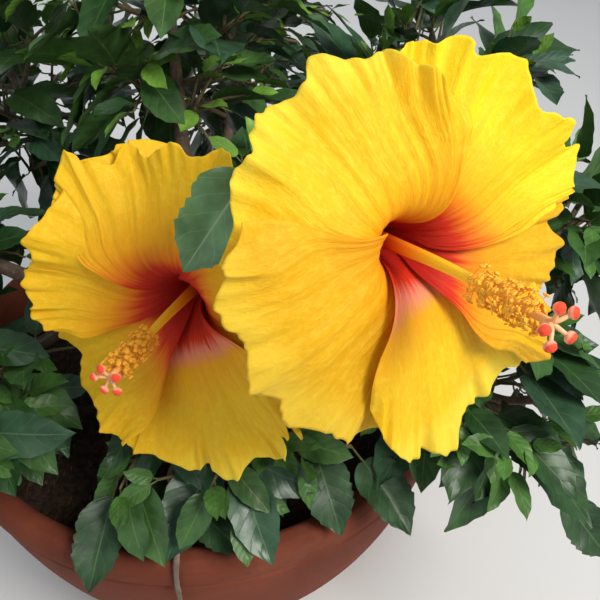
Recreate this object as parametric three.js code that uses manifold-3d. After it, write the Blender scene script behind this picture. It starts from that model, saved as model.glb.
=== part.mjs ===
// A hibiscus shrub in a round terracotta bowl pot, in millimetres with +Z up.
// The origin is the centre of the pot's flat underside, and the two open flowers are on the -Y side.
// Each mass of foliage grows from the tip of its bough by one seeded rule, inside a space of its own.
import * as THREE from "three";
import { mergeVertices } from "three/addons/utils/BufferGeometryUtils.js";
import Module from "manifold-3d";

const wasm = await Module();
wasm.setup();

// The clearance between neighbouring solids
const CLEAR = 0.3;

// The terracotta bowl
const POT_HEIGHT = 230;
const POT_BASE = 120;
const POT_BELLY = 194;
const POT_BULGE = 0.2;
const POT_WALL = 12;
const POT_FLOOR = 14;
const POT_SIDES = 32;
const COLLAR_LOW = 208;
const COLLAR_RADIUS = 196;
const COLLAR_HEIGHT = 12;
const GROOVE_DEPTH = 6;
const GROOVE_LOW = 8;
const GROOVE_HIGH = 2;
const FOOT_BEVEL = 4;
const RIM_BEVEL = 3;
const FLOOR_BEVEL = 6;
const RIM_OUTER = 191;
const RIM_INNER = 178;
const DRAIN_RADIUS = 7;
const DRAIN_CIRCLE = 62;

// The potting soil
const SOIL_TOP = 205;
const SOIL_FALL = 5;
const SOIL_WAVES = 1.6;
const SOIL_FLAT = 40;
const SOIL_MIDDLE = 95;
const SOIL_OUTER = 148;

// The trunk, from its flat cut on the soil to its fork
const TRUNK = {
  path: [[4, 6, SOIL_TOP + CLEAR], [4, 6, 220], [-1, 8, 248], [-6, 11, 280]],
  foot: 15,
  fork: 11.5,
  flare: 10,
  flareHeight: 13,
  lobes: 5,
};

// The boughs: where each leaves its parent, as a share of the parent's length, its radii, and how far
// its middle hangs below the straight line
const BOUGHS = [
  { name: "bough_top", on: "trunk", at: 0.96, thick: 8.5, thin: 5, hang: 0 },
  { name: "bough_back", on: "trunk", at: 0.82, thick: 8, thin: 4.6, hang: 16 },
  { name: "bough_left", on: "trunk", at: 0.68, thick: 8.5, thin: 4.8, hang: 20 },
  { name: "bough_right", on: "trunk", at: 0.74, thick: 8.5, thin: 4.8, hang: 20 },
  { name: "bough_front", on: "trunk", at: 0.5, thick: 7, thin: 4.4, hang: 8 },
  { name: "bough_back_left", on: "bough_left", at: 0.3, thick: 6.4, thin: 4.4, hang: 6 },
  { name: "bough_back_right", on: "bough_right", at: 0.3, thick: 6.4, thin: 4.4, hang: 6 },
  { name: "bough_front_left", on: "bough_left", at: 0.5, thick: 5.8, thin: 4.2, hang: 4 },
  { name: "bough_front_right", on: "bough_right", at: 0.46, thick: 5.8, thin: 4.2, hang: 4 },
  { name: "flower_bough_right", on: "bough_right", at: 0.2, thick: 5.4, thin: 3.8, hang: 6 },
  { name: "flower_bough_left", on: "bough_front", at: 0.3, thick: 5.2, thin: 3.6, hang: 4 },
];
const BOUGH_SIDES = 6;
const BOUGH_STEPS = 5;

// The two open flowers: the throat, the way each faces, the tip of its column, the clear way that it
// looks out through, the height by which each petal laps over the next, and the petals. A petal has
// its turn round the axis, its length, half width and the share of its length at its sides, its
// opening, skew, curl and cup.
const FLOWERS = [
  {
    name: "right",
    throat: [118, -182, 458],
    azimuth: -59,
    elevation: 20,
    columnTip: [149, -241, 477],
    openWay: [-33, -207, 161],
    lap: 4.5,
    petals: [
      { turn: 120, length: 88, half: 44, side: 0.53, open: 108, skew: -0.25, curl: 18, cup: 1.0 },
      { turn: 46, length: 88, half: 43, side: 0.69, open: 81, skew: -0.2, curl: -12, cup: -0.3 },
      { turn: -3, length: 91, half: 42, side: 0.78, open: 90, skew: 0.3, curl: 18, cup: 0.9 },
      { turn: -69, length: 109, half: 48, side: 0.54, open: 94, skew: -0.15, curl: 5, cup: 0.9 },
      { turn: -143, length: 93, half: 52, side: 0.58, open: 86, skew: 0, curl: 30, cup: 0.2 },
    ],
  },
  {
    name: "left",
    throat: [14, -133, 387],
    azimuth: -116.5,
    elevation: 7,
    columnTip: [-7, -187, 393],
    openWay: [61, -256, 232],
    lap: -4.5,
    petals: [
      { turn: 155, length: 89, half: 51, side: 0.66, open: 68, skew: 0.12, curl: -8, cup: -0.8 },
      { turn: 98, length: 91, half: 53, side: 0.74, open: 110, skew: 0.05, curl: -6, cup: -0.9 },
      { turn: 18, length: 99, half: 52, side: 0.72, open: 74, skew: 0.2, curl: -14, cup: -0.8 },
      { turn: -56, length: 107, half: 56, side: 0.54, open: 74, skew: 0.15, curl: 4, cup: 0.2 },
      { turn: -152, length: 88, half: 54, side: 0.66, open: 77, skew: -0.1, curl: -4, cup: 1.3 },
    ],
  },
];
const THROAT_DEPTH = 28;
const TUBE_RADIUS = 5.2;
const TUBE_ANGLE = 16;
const TUBE_LAP = 12;
const BEND_START = 12;
const BEND_END = 50;
const LAP_START = 6;
const LAP_GROWTH = 24;
const PETAL_THICK = 1.2;
const PETAL_ROWS = 5;
const PETAL_COLUMNS = 6;
const PETAL_WAVE = 2.8;
const PETAL_START = 0.1;
const STRIDES = 24;
const CORE_FOOT = 6.2;
const CORE_MOUTH = 10;
const CORE_BACK = 3;
const CORE_FRONT = 13;
const COLUMN_FOOT = 3.2;
const COLUMN_TIP = 2.1;
const ANTHERS = 14;
const ANTHER_REACH = 8;
const ANTHER_RADIUS = 1.9;
const STIGMAS = 5;
const STIGMA_REACH = 9;
const STIGMA_RADIUS = 2.6;
const CALYX_LENGTH = 21;
const CALYX_FOOT = 3;
const CALYX_BELLY = 8;

// The masses of foliage: the middle of each space, its half width and half height, the number of
// twigs, and the leaves that stand where the plant shows them, as root, tip and width
const MASSES = [
  { name: "foliage_top", seed: 11, middle: [-8, 62, 448], wide: 108, high: 98, twigs: 11 },
  { name: "foliage_back", seed: 23, middle: [25, 190, 372], wide: 118, high: 104, twigs: 11 },
  { name: "foliage_back_left", seed: 31, middle: [-150, 135, 368], wide: 116, high: 102, twigs: 11 },
  { name: "foliage_back_right", seed: 47, middle: [178, 112, 378], wide: 112, high: 104, twigs: 11 },
  { name: "foliage_left", seed: 59, middle: [-202, -18, 338], wide: 104, high: 100, twigs: 11 },
  { name: "foliage_right", seed: 61, middle: [234, -22, 338], wide: 100, high: 96, twigs: 11 },
  { name: "foliage_front_left", seed: 71, middle: [-128, -118, 300], wide: 82, high: 66, twigs: 9 },
  {
    name: "foliage_front_right",
    seed: 83,
    middle: [196, -112, 288],
    wide: 84,
    high: 70,
    twigs: 9,
    shown: [
      { root: [197, -101, 281], tip: [222, -148, 262], width: 32 },
      { root: [236, -143, 238], tip: [270, -180, 212], width: 36 },
    ],
  },
  {
    name: "foliage_front",
    seed: 97,
    middle: [20, -112, 262],
    wide: 92,
    high: 46,
    twigs: 9,
    shown: [
      { root: [107, -130, 263], tip: [142, -180, 254], width: 38 },
      { root: [82, -127, 266], tip: [99, -180, 250], width: 40 },
      { root: [2, -150, 240], tip: [40, -192, 250], width: 32 },
      { root: [-6, -128, 240], tip: [-23, -178, 250], width: 32 },
      { root: [-36, -146, 256], tip: [-49, -206, 226], width: 40 },
    ],
  },
  {
    name: "flower_shoot_right",
    seed: 101,
    middle: [80, -96, 398],
    wide: 78,
    high: 80,
    twigs: 7,
    flower: "right",
    shown: [{ root: [62, -141, 478], tip: [24, -170, 437], width: 40 }],
  },
  {
    name: "flower_shoot_left",
    seed: 109,
    middle: [12, -66, 346],
    wide: 64,
    high: 56,
    twigs: 6,
    flower: "left",
  },
];
const GOLDEN_TURN = Math.PI * (3 - Math.sqrt(5));
const SPACE_REACH = 1.12;
const ENTRY_REACH = 0.62;
const STEM_ONWARD = 0.28;
const STEM_UPWARD = 0.2;
const STEM_SIDES = 5;
const STEM_STEPS = 6;
const STEM_THIN = 2.2;
const SHOOT_THIN = 2.9;
const TEST_SPACING = 6;
const TARGET_REACH = 0.56;
const TWIG_THICK = 2.6;
const TWIG_THIN = 1.9;
const TWIG_SIDES = 3;
const TWIG_STEPS = 2;
const TWIG_LEAST = 12;
const TWIG_BEFORE = 0.22;
const TWIG_SAG = 0.07;
const LEAF_GAP = 19;
const LEAF_LONG = 94;
const LEAF_SHORT = 68;
const LEAF_SHAPE = 0.54;
const LEAF_THICK = 1.6;
const LEAF_WIDEST = 0.46;
const LEAF_THICKEST = 0.14;
const LEAF_SINK = 0.5;
const LEAF_ROOM = 7;
const TWIG_ROOM = 5.5;
const LEAF_TRIES = 6;
const BOUGH_ROOM = 4.5;
const FLOWER_ROOM = 13;
const OPEN_RADIUS = 88;
const OPEN_LENGTH = 330;
const OPEN_TAPER = 0.62;
const OPEN_BACK = 6;

const COLOURS = {
  terracotta: 0x9a4a38,
  soil: 0x2a1c14,
  bark: 0x6b4a36,
  shoot: 0x5d6b35,
  leaf: 0x2f5a2a,
  petal: 0xf7c813,
  column: 0xf3a21a,
  calyx: 0x7f9a3a,
};

const UP = new THREE.Vector3(0, 0, 1);
const point = (xyz) => new THREE.Vector3(...xyz);
const radians = (degrees) => (degrees * Math.PI) / 180;
const clamp = (x, low, high) => Math.min(high, Math.max(low, x));
const between = (a, b, share) => a + (b - a) * share;

// The direction at an angle between two crossing directions
function spoke(first, second, turn) {
  return first.clone().multiplyScalar(Math.cos(turn)).addScaledVector(second, Math.sin(turn));
}

// A smooth step from 0 to 1
function smooth(x) {
  const u = clamp(x, 0, 1);
  return u * u * (3 - 2 * u);
}

// A repeatable row of numbers from 0 to 1, each worked out from the one before
function seeded(seed) {
  let state = seed;
  return () => {
    state = (state * 1664525 + 1013904223) % 4294967296;
    return state / 4294967296;
  };
}

// A closed body from corner coordinates and triangles
function bodyOf(corners, triangles) {
  return new wasm.Manifold(
    new wasm.Mesh({
      numProp: 3,
      vertProperties: new Float32Array(corners),
      triVerts: new Uint32Array(triangles),
    }),
  );
}

// A closed body from a three.js geometry, with its shared corners merged
function bodyOfGeometry(geometry) {
  const bare = geometry.clone();
  bare.deleteAttribute("normal");
  bare.deleteAttribute("uv");
  const merged = mergeVertices(bare, 1e-4);
  return bodyOf(merged.attributes.position.array, merged.index.array);
}

// A named mesh from a body, in one plain colour
function meshOf(name, body, colour, roughness) {
  const cut = body.getMesh();
  const geometry = new THREE.BufferGeometry();
  geometry.setAttribute("position", new THREE.BufferAttribute(new Float32Array(cut.vertProperties), 3));
  geometry.setIndex(new THREE.BufferAttribute(new Uint32Array(cut.triVerts), 1));
  geometry.computeVertexNormals();
  const mesh = new THREE.Mesh(geometry, new THREE.MeshStandardMaterial({ color: colour, roughness }));
  mesh.name = name;
  return mesh;
}

// The largest single piece of a body: loose scraps are dropped, and sealed hollows are filled
function mainPiece(body) {
  return body.decompose().sort((a, b) => b.volume() - a.volume())[0];
}

// A closed tube of changing radius along a smooth curve: rings of points, joined by triangles
function tube(curve, radiusAt, sides, steps) {
  const frames = curve.computeFrenetFrames(steps);
  const corners = [];
  const triangles = [];
  for (let i = 0; i <= steps; i++) {
    const centre = curve.getPointAt(i / steps);
    for (let j = 0; j < sides; j++) {
      const turn = (2 * Math.PI * j) / sides;
      const radius = radiusAt(i / steps, turn);
      const corner = centre
        .clone()
        .addScaledVector(frames.normals[i], radius * Math.cos(turn))
        .addScaledVector(frames.binormals[i], radius * Math.sin(turn));
      corners.push(corner.x, corner.y, corner.z);
    }
  }
  for (let i = 0; i < steps; i++) {
    for (let j = 0; j < sides; j++) {
      const a = i * sides + j;
      const b = i * sides + ((j + 1) % sides);
      triangles.push(a, b, b + sides, a, b + sides, a + sides);
    }
  }
  const last = steps * sides;
  for (let j = 1; j < sides - 1; j++) {
    triangles.push(0, j + 1, j, last, last + j, last + j + 1);
  }
  return bodyOf(corners, triangles);
}

// The faces of a body with a root, a right side, a tip, a left side, a top and an underside
const EIGHT_FACES = [4, 0, 1, 4, 1, 2, 4, 2, 3, 4, 3, 0, 5, 1, 0, 5, 2, 1, 5, 3, 2, 5, 0, 3];

const curveThrough = (points) => new THREE.CatmullRomCurve3(points, false, "centripetal");

// The bowl's outer radius at a height: a straight taper with a rounded belly
function bowlRadius(z) {
  const u = clamp(z / COLLAR_LOW, 0, 1);
  return POT_BASE + (POT_BELLY - POT_BASE) * (u + POT_BULGE * Math.sin(Math.PI * u));
}

// The heights at which the bowl's wall is drawn, outside and inside
const OUTSIDE_HEIGHTS = [26, 66, 110, 156];
const INSIDE_HEIGHTS = [36, 84, 134, 182];

// The pot: a lathe-turned bowl with a collar and a groove under it, and three drain holes
function makePot() {
  const outer = OUTSIDE_HEIGHTS.map((z) => [bowlRadius(z), z]);
  const inner = INSIDE_HEIGHTS.map((z) => [bowlRadius(z) - POT_WALL, z]).reverse();
  const profile = [
    [0, 0],
    [POT_BASE - FOOT_BEVEL, 0],
    [POT_BASE, FOOT_BEVEL],
    ...outer,
    [bowlRadius(COLLAR_LOW - GROOVE_LOW), COLLAR_LOW - GROOVE_LOW],
    [COLLAR_RADIUS - GROOVE_DEPTH, COLLAR_LOW - GROOVE_HIGH],
    [COLLAR_RADIUS, COLLAR_LOW],
    [COLLAR_RADIUS, COLLAR_LOW + COLLAR_HEIGHT],
    [RIM_OUTER, POT_HEIGHT],
    [RIM_INNER + RIM_BEVEL, POT_HEIGHT],
    [RIM_INNER, POT_HEIGHT - RIM_BEVEL],
    [RIM_INNER, COLLAR_LOW],
    ...inner,
    [bowlRadius(POT_FLOOR) - POT_WALL - FLOOR_BEVEL, POT_FLOOR],
    [0, POT_FLOOR],
  ].map(([r, z]) => new THREE.Vector2(r, z));
  const lathe = new THREE.LatheGeometry(profile, POT_SIDES).rotateX(Math.PI / 2);
  let body = bodyOfGeometry(lathe);
  for (let k = 0; k < 3; k++) {
    const turn = (2 * Math.PI * k) / 3 + Math.PI / 2;
    const drill = new THREE.CylinderGeometry(DRAIN_RADIUS, DRAIN_RADIUS, 2 * POT_FLOOR, 10)
      .rotateX(Math.PI / 2)
      .translate(DRAIN_CIRCLE * Math.cos(turn), DRAIN_CIRCLE * Math.sin(turn), POT_FLOOR / 2);
    body = body.subtract(bodyOfGeometry(drill));
  }
  return body;
}

// The soil: it fills the bowl and its top is slightly uneven away from the trunk
function makeSoil() {
  const side = INSIDE_HEIGHTS.map((z) => [bowlRadius(z) - POT_WALL - CLEAR, z]);
  const profile = [
    [0, POT_FLOOR + CLEAR],
    [bowlRadius(POT_FLOOR) - POT_WALL - FLOOR_BEVEL - CLEAR, POT_FLOOR + CLEAR],
    ...side,
    [RIM_INNER - CLEAR, SOIL_TOP - SOIL_FALL],
    [SOIL_OUTER, SOIL_TOP - 0.6 * SOIL_FALL],
    [SOIL_MIDDLE, SOIL_TOP - 0.3 * SOIL_FALL],
    [SOIL_FLAT, SOIL_TOP],
    [0, SOIL_TOP],
  ].map(([r, z]) => new THREE.Vector2(r, z));
  const lathe = new THREE.LatheGeometry(profile, POT_SIDES).rotateX(Math.PI / 2);
  const place = lathe.attributes.position;
  for (let i = 0; i < place.count; i++) {
    const radius = Math.hypot(place.getX(i), place.getY(i));
    const turn = Math.atan2(place.getY(i), place.getX(i));
    if (place.getZ(i) > SOIL_TOP - SOIL_FALL + 0.5 && radius > SOIL_FLAT + 1) {
      const wave = Math.sin(5 * turn + radius / 9) + Math.cos(8 * turn - radius / 14);
      place.setZ(i, place.getZ(i) + SOIL_WAVES * wave);
    }
  }
  return bodyOfGeometry(lathe);
}

// A limb: its curve, its radius along it, and its body and a slightly larger one that cuts neighbours
function makeLimb(points, thick, thin, sides, steps) {
  const curve = curveThrough(points);
  const radiusAt = (u) => between(thick, thin, Math.pow(u, 0.8));
  return {
    curve,
    radiusAt,
    body: tube(curve, radiusAt, sides, steps),
    cutter: tube(curve, (u) => radiusAt(u) + CLEAR + 0.1, sides, steps),
  };
}

// The trunk: it widens in low lobes where it meets the soil, and its foot is cut level
function makeTrunk() {
  const curve = curveThrough(TRUNK.path.map(point));
  const length = curve.getLength();
  const radiusAt = (u) => between(TRUNK.foot, TRUNK.fork, u);
  const flared = (more) => (u, turn) => {
    const spread = Math.exp((-u * length) / TRUNK.flareHeight);
    const lobe = 0.7 + 0.3 * Math.cos(TRUNK.lobes * turn);
    return radiusAt(u) + TRUNK.flare * spread * lobe + more;
  };
  return {
    curve,
    radiusAt,
    body: tube(curve, flared(0), 10, 8),
    cutter: tube(curve, flared(CLEAR + 0.1), 10, 8),
  };
}

// The space of a mass: its own cell between the neighbouring middles, within a rounded outline
function inSpace(mass, p) {
  const middle = point(mass.middle);
  const away = p.clone().sub(middle);
  const reach = Math.hypot(away.x / mass.wide, away.y / mass.wide, away.z / mass.high);
  if (reach > SPACE_REACH) return false;
  const own = middle.distanceToSquared(p);
  return MASSES.every((other) => {
    if (other === mass) return true;
    const neighbour = point(other.middle);
    const slack = 2 * CLEAR * neighbour.distanceTo(middle);
    return own + slack < neighbour.distanceToSquared(p);
  });
}

// Whether a point is clear of the pot and the soil
function clearOfPot(p) {
  const radius = Math.hypot(p.x, p.y);
  if (p.z > POT_HEIGHT + 5) return true;
  if (radius < RIM_INNER - 8) return p.z > SOIL_TOP + 7;
  return radius > COLLAR_RADIUS + 7 && p.z > 20;
}

// A flower's frame: the axis points out of its face, and the other two lie across it
function flowerFrame(flower) {
  const azimuth = radians(flower.azimuth);
  const elevation = radians(flower.elevation);
  const axis = new THREE.Vector3(
    Math.cos(elevation) * Math.cos(azimuth),
    Math.cos(elevation) * Math.sin(azimuth),
    Math.sin(elevation),
  );
  const across = new THREE.Vector3(1, 0, 0).addScaledVector(axis, -axis.x).normalize();
  const third = axis.clone().cross(across);
  const foot = point(flower.throat).addScaledVector(axis, -THROAT_DEPTH);
  return { axis, across, third, foot };
}

// Each petal of a flower with the neighbours on both its sides
function petalSides(flower) {
  return flower.petals.map((petal, k) => ({
    petal,
    later: flower.petals[(k + 1) % flower.petals.length],
    earlier: flower.petals[(k + flower.petals.length - 1) % flower.petals.length],
  }));
}

// The angle round the axis from a petal to the next one on the side of t
function gapBeside({ petal, earlier, later }, t) {
  const gap = t > 0 ? petal.turn - later.turn : earlier.turn - petal.turn;
  return radians((gap + 360) % 360);
}

// A petal's lean from the axis: the tube's angle up to the bend, and smoothly to the opening
function leanAt(d, open) {
  const share = smooth((d - BEND_START) / (BEND_END - BEND_START));
  return between(radians(TUBE_ANGLE), radians(open), share);
}

// The mean of a value over the way from a petal's root to a distance
function meanAlong(d, value) {
  let sum = 0;
  for (let k = 0; k < STRIDES; k++) sum += value((d * (k + 0.5)) / STRIDES);
  return sum / STRIDES;
}

// The distance from the axis of a petal that opens square, a distance along it from its root
const plainRing = (d) => TUBE_RADIUS + meanAlong(d, (e) => Math.sin(leanAt(e, 90))) * d;

// A point on a petal's middle surface. s runs from its root to its margin and t across it, from -1
// to 1. In the tube the plan is a sector of the ring that laps a little over half the gap to each
// neighbour, and further out a fan. Each ray rises along the tube and then leans outwards, and each
// row across lies on a circle round the axis, more or less cupped. The opening, curl and cup pass
// over to the neighbour's with the angle round the axis, and the lap lifts one side over the next.
function petalPoint(flower, frame, sides, s, t) {
  const { petal, earlier, later } = sides;
  const angle = (t * Math.PI) / 2;
  const arch = petal.side + (1 - petal.side) * Math.pow(Math.max(Math.cos(angle), 0), 0.8);
  const notch = 1 + 0.02 * Math.sin(5 * Math.PI * t) + 0.012 * Math.sin(17 * t);
  const y = petal.length * arch * notch * s;
  const gap = gapBeside(sides, t);
  const sector = Math.sin(angle) * (gap / 2 + radians(TUBE_LAP)) * plainRing(y);
  const fan = petal.half * Math.sin(angle) * (1 + petal.skew * t) * s;
  const x = between(sector, fan, smooth((y - BEND_START) / (BEND_END - BEND_START)));
  const rho = Math.hypot(x, y);
  const share = smooth(Math.abs(x) / plainRing(rho) / gap);
  const blended = (key) => between(petal[key], (t > 0 ? later : earlier)[key], share);
  const open = blended("open");
  const curl = radians(blended("curl"));
  const curlStart = 0.6 * BEND_END;
  const curlAt = (d) => clamp((d - curlStart) / (petal.length - curlStart), 0, 1) ** 2;
  const lean = (d) => leanAt(d, open) + curl * curlAt(d);
  const outward = meanAlong(rho, (d) => Math.sin(lean(d)));
  const radial = TUBE_RADIUS + outward * y;
  const ring = TUBE_RADIUS + outward * rho;
  const rise = meanAlong(rho, (d) => Math.cos(lean(d))) * rho;
  const beta = lean(rho);
  const cupping = (blended("cup") / petal.length) * smooth((rho - 0.5 * BEND_END) / (0.6 * petal.length));
  const bend = Math.cos(beta) / ring + cupping;
  const kappa = Math.abs(bend) < 1e-5 ? 1e-5 : bend;
  const sideways = Math.sin(kappa * x) / kappa;
  const wave = PETAL_WAVE * smooth((s - 0.25) / 0.75) * s * Math.sin(3 * Math.PI * t + s);
  const lapping = flower.lap * t * smooth((rho - LAP_START) / LAP_GROWTH);
  const off = (1 - Math.cos(kappa * x)) / kappa + wave + lapping;
  const turn = radians(petal.turn);
  const out = spoke(frame.across, frame.third, turn);
  const clockwise = spoke(frame.across, frame.third, turn - Math.PI / 2);
  return frame.foot
    .clone()
    .addScaledVector(out, radial - Math.cos(beta) * off)
    .addScaledVector(clockwise, sideways)
    .addScaledVector(frame.axis, rise + Math.sin(beta) * off);
}

// A petal of even thickness: its middle surface set off to both sides, with the edge closed
function makePetal(flower, frame, sides) {
  const rows = PETAL_ROWS;
  const columns = PETAL_COLUMNS;
  const at = (i, j) =>
    petalPoint(flower, frame, sides, between(PETAL_START, 1, i / rows), between(-1, 1, j / columns));
  const corners = [];
  const triangles = [];
  const index = (face, i, j) => (face * (rows + 1) + i) * (columns + 1) + j;
  for (const face of [1, -1]) {
    for (let i = 0; i <= rows; i++) {
      for (let j = 0; j <= columns; j++) {
        const along = at(Math.min(i + 0.5, rows), j).sub(at(Math.max(i - 0.5, 0), j));
        const cross = at(i, Math.min(j + 0.5, columns)).sub(at(i, Math.max(j - 0.5, 0)));
        const normal = cross.cross(along).normalize();
        const corner = at(i, j).addScaledVector(normal, (face * PETAL_THICK) / 2);
        corners.push(corner.x, corner.y, corner.z);
      }
    }
  }
  const quad = (a, b, c, d) => triangles.push(a, b, c, a, c, d);
  for (let i = 0; i < rows; i++) {
    for (let j = 0; j < columns; j++) {
      quad(index(0, i, j), index(0, i, j + 1), index(0, i + 1, j + 1), index(0, i + 1, j));
      quad(index(1, i, j), index(1, i + 1, j), index(1, i + 1, j + 1), index(1, i, j + 1));
    }
    quad(index(0, i, 0), index(0, i + 1, 0), index(1, i + 1, 0), index(1, i, 0));
    quad(index(0, i, columns), index(1, i, columns), index(1, i + 1, columns), index(0, i + 1, columns));
  }
  for (let j = 0; j < columns; j++) {
    quad(index(0, 0, j), index(1, 0, j), index(1, 0, j + 1), index(0, 0, j + 1));
    quad(index(0, rows, j), index(0, rows, j + 1), index(1, rows, j + 1), index(1, rows, j));
  }
  return bodyOf(corners, triangles);
}

// A straight round bar between two points
function bar(from, to, thick, thin, sides) {
  return tube(new THREE.LineCurve3(from, to), (u) => between(thick, thin, u), sides, 1);
}

// A drop-shaped knob of eight faces on a thin root, widest three quarters of the way out
function knob(root, end, radius) {
  const way = end.clone().sub(root);
  const waist = root.clone().addScaledVector(way, 0.74);
  const first = way.clone().cross(UP).normalize().multiplyScalar(radius);
  const second = first.clone().cross(way).normalize().multiplyScalar(radius);
  const places = [
    root,
    waist.clone().add(first),
    end,
    waist.clone().sub(first),
    waist.clone().add(second),
    waist.clone().sub(second),
  ];
  const corners = places.flatMap((p) => [p.x, p.y, p.z]);
  return bodyOf(corners, EIGHT_FACES);
}

// The corolla: five petals fused into the small core that they grow from
function makeCorolla(flower, frame) {
  const back = frame.foot.clone().addScaledVector(frame.axis, -CORE_BACK);
  const front = frame.foot.clone().addScaledVector(frame.axis, CORE_FRONT);
  const core = bar(back, front, CORE_FOOT, CORE_MOUTH, 10);
  const petals = petalSides(flower).map((sides) => makePetal(flower, frame, sides));
  return mainPiece(petals.reduce((whole, petal) => whole.add(petal), core));
}

// The column: anthers on short threads all round its outer part, and five stigmas at its tip
function makeColumn(flower, frame) {
  const foot = frame.foot.clone().addScaledVector(frame.axis, CORE_FRONT + CLEAR);
  const tip = point(flower.columnTip);
  const way = tip.clone().sub(foot);
  const length = way.length();
  way.normalize();
  const first = frame.third.clone().addScaledVector(way, -frame.third.dot(way)).normalize();
  const second = way.clone().cross(first);
  let body = bar(foot, tip, COLUMN_FOOT, COLUMN_TIP, 6);
  for (let k = 0; k < ANTHERS; k++) {
    const share = between(0.6, 0.93, k / (ANTHERS - 1));
    const root = foot.clone().addScaledVector(way, length * share);
    const end = root
      .clone()
      .addScaledVector(spoke(first, second, k * GOLDEN_TURN), ANTHER_REACH)
      .addScaledVector(way, 1.5);
    body = body.add(knob(root, end, ANTHER_RADIUS));
  }
  for (let k = 0; k < STIGMAS; k++) {
    const root = tip.clone().addScaledVector(way, -1);
    const end = tip
      .clone()
      .addScaledVector(spoke(first, second, (2 * Math.PI * k) / STIGMAS), STIGMA_REACH)
      .addScaledVector(way, 5);
    body = body.add(knob(root, end, STIGMA_RADIUS));
  }
  return mainPiece(body);
}

// The calyx: a small turned cup behind the petals, on the end of the shoot
function makeCalyx(frame) {
  const back = CORE_BACK + CLEAR;
  const profile = [
    [0, -back - CALYX_LENGTH],
    [CALYX_FOOT, -back - CALYX_LENGTH],
    [CALYX_BELLY * 0.8, -back - CALYX_LENGTH * 0.72],
    [CALYX_BELLY, -back - CALYX_LENGTH * 0.35],
    [CALYX_BELLY * 0.9, -back],
    [0, -back],
  ].map(([r, w]) => new THREE.Vector2(r, w));
  const lathe = new THREE.LatheGeometry(profile, 10).rotateX(Math.PI / 2);
  const turned = new THREE.Matrix4().makeBasis(frame.across, frame.third, frame.axis).setPosition(frame.foot);
  return bodyOfGeometry(lathe.applyMatrix4(turned));
}

// A leaf: a flat eight-faced blade whose root is sunk in its twig
function makeLeaf(leaf) {
  const { root, along, face, length, width } = leaf;
  const side = along.clone().cross(face);
  const at = (share, across, lift) =>
    root
      .clone()
      .addScaledVector(along, length * share)
      .addScaledVector(side, across)
      .addScaledVector(face, lift);
  const places = [
    at(-LEAF_SINK / length, 0, 0),
    at(LEAF_WIDEST, width / 2, 0),
    at(1, 0, 0),
    at(LEAF_WIDEST, -width / 2, 0),
    at(LEAF_THICKEST, 0, LEAF_THICK / 2),
    at(LEAF_THICKEST, 0, -LEAF_THICK / 2),
  ];
  const corners = places.flatMap((p) => [p.x, p.y, p.z]);
  return bodyOf(corners, EIGHT_FACES);
}

// Points spread over a leaf, for testing what it would touch
function leafSamples(leaf) {
  const side = leaf.along.clone().cross(leaf.face);
  const samples = [];
  for (let i = 2; i <= 10; i++) {
    const share = i / 10;
    const half = (leaf.width / 2) * Math.min(share / LEAF_WIDEST, (1 - share) / (1 - LEAF_WIDEST));
    for (const across of half > 9 ? [-1, -0.5, 0, 0.5, 1] : [-1, 0, 1]) {
      const middle = leaf.root.clone().addScaledVector(leaf.along, leaf.length * share);
      samples.push(middle.addScaledVector(side, half * across));
    }
  }
  return samples;
}

// A leaf's full description from its root, its way out, the way it faces, and its length
function describeLeaf(root, way, facing, length, width) {
  const along = way.clone().normalize();
  const face = facing.clone().addScaledVector(along, -facing.dot(along)).normalize();
  return { root, along, face, length, width };
}

const frames = new Map(FLOWERS.map((flower) => [flower.name, flowerFrame(flower)]));

// Points on the petals, and the open space before each flower: nothing else grows there
const petalPlaces = FLOWERS.flatMap((flower) => {
  const frame = frames.get(flower.name);
  const places = [];
  for (const sides of petalSides(flower)) {
    for (let i = 1; i <= 8; i++) {
      for (let j = 0; j <= 10; j++) {
        places.push(petalPoint(flower, frame, sides, i / 8, between(-1, 1, j / 10)));
      }
    }
  }
  return places;
});

// Whether a point is in the clear way through which a flower looks out, up and forward from its face
function beforeFlower(p) {
  return FLOWERS.some((flower) => {
    const way = point(flower.openWay).normalize();
    const offset = p.clone().sub(point(flower.throat));
    const ahead = offset.dot(way);
    const aside = Math.sqrt(Math.max(offset.lengthSq() - ahead * ahead, 0));
    const room = OPEN_RADIUS * (1 - (OPEN_TAPER * ahead) / OPEN_LENGTH);
    return ahead > -OPEN_BACK && ahead < OPEN_LENGTH && aside < room;
  });
}

// Whether a point is clear of the limbs, the petals and the pot
function clearOfAll(p, limbs, room) {
  if (!clearOfPot(p)) return false;
  for (const place of petalPlaces) {
    if (place.distanceToSquared(p) < FLOWER_ROOM * FLOWER_ROOM) return false;
  }
  for (const limb of limbs) {
    for (const { place, radius } of limb.beads) {
      const least = radius + room;
      if (place.distanceToSquared(p) < least * least) return false;
    }
  }
  return true;
}

// Points and radii along a limb, close enough together to stand for it in tests
function beadsAlong(limb) {
  const count = Math.ceil(limb.curve.getLength() / TEST_SPACING);
  return Array.from({ length: count + 1 }, (_, k) => ({
    place: limb.curve.getPointAt(k / count),
    radius: limb.radiusAt(k / count),
  }));
}

// Where a bough enters its mass: on the near side of the mass's space
function entryOf(mass, from) {
  const middle = point(mass.middle);
  const inward = from.clone().sub(middle).normalize();
  let share = ENTRY_REACH;
  const at = () => middle.clone().addScaledVector(inward, mass.wide * share);
  while (!inSpace(mass, at()) && share > 0.15) share -= 0.03;
  return at();
}

// The mass at the end of a bough: it has the bough's name with one word changed
function massOf(bough) {
  const name = bough.name.replace("flower_bough", "flower_shoot").replace(/^bough/, "foliage");
  return MASSES.find((mass) => mass.name === name);
}

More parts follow.
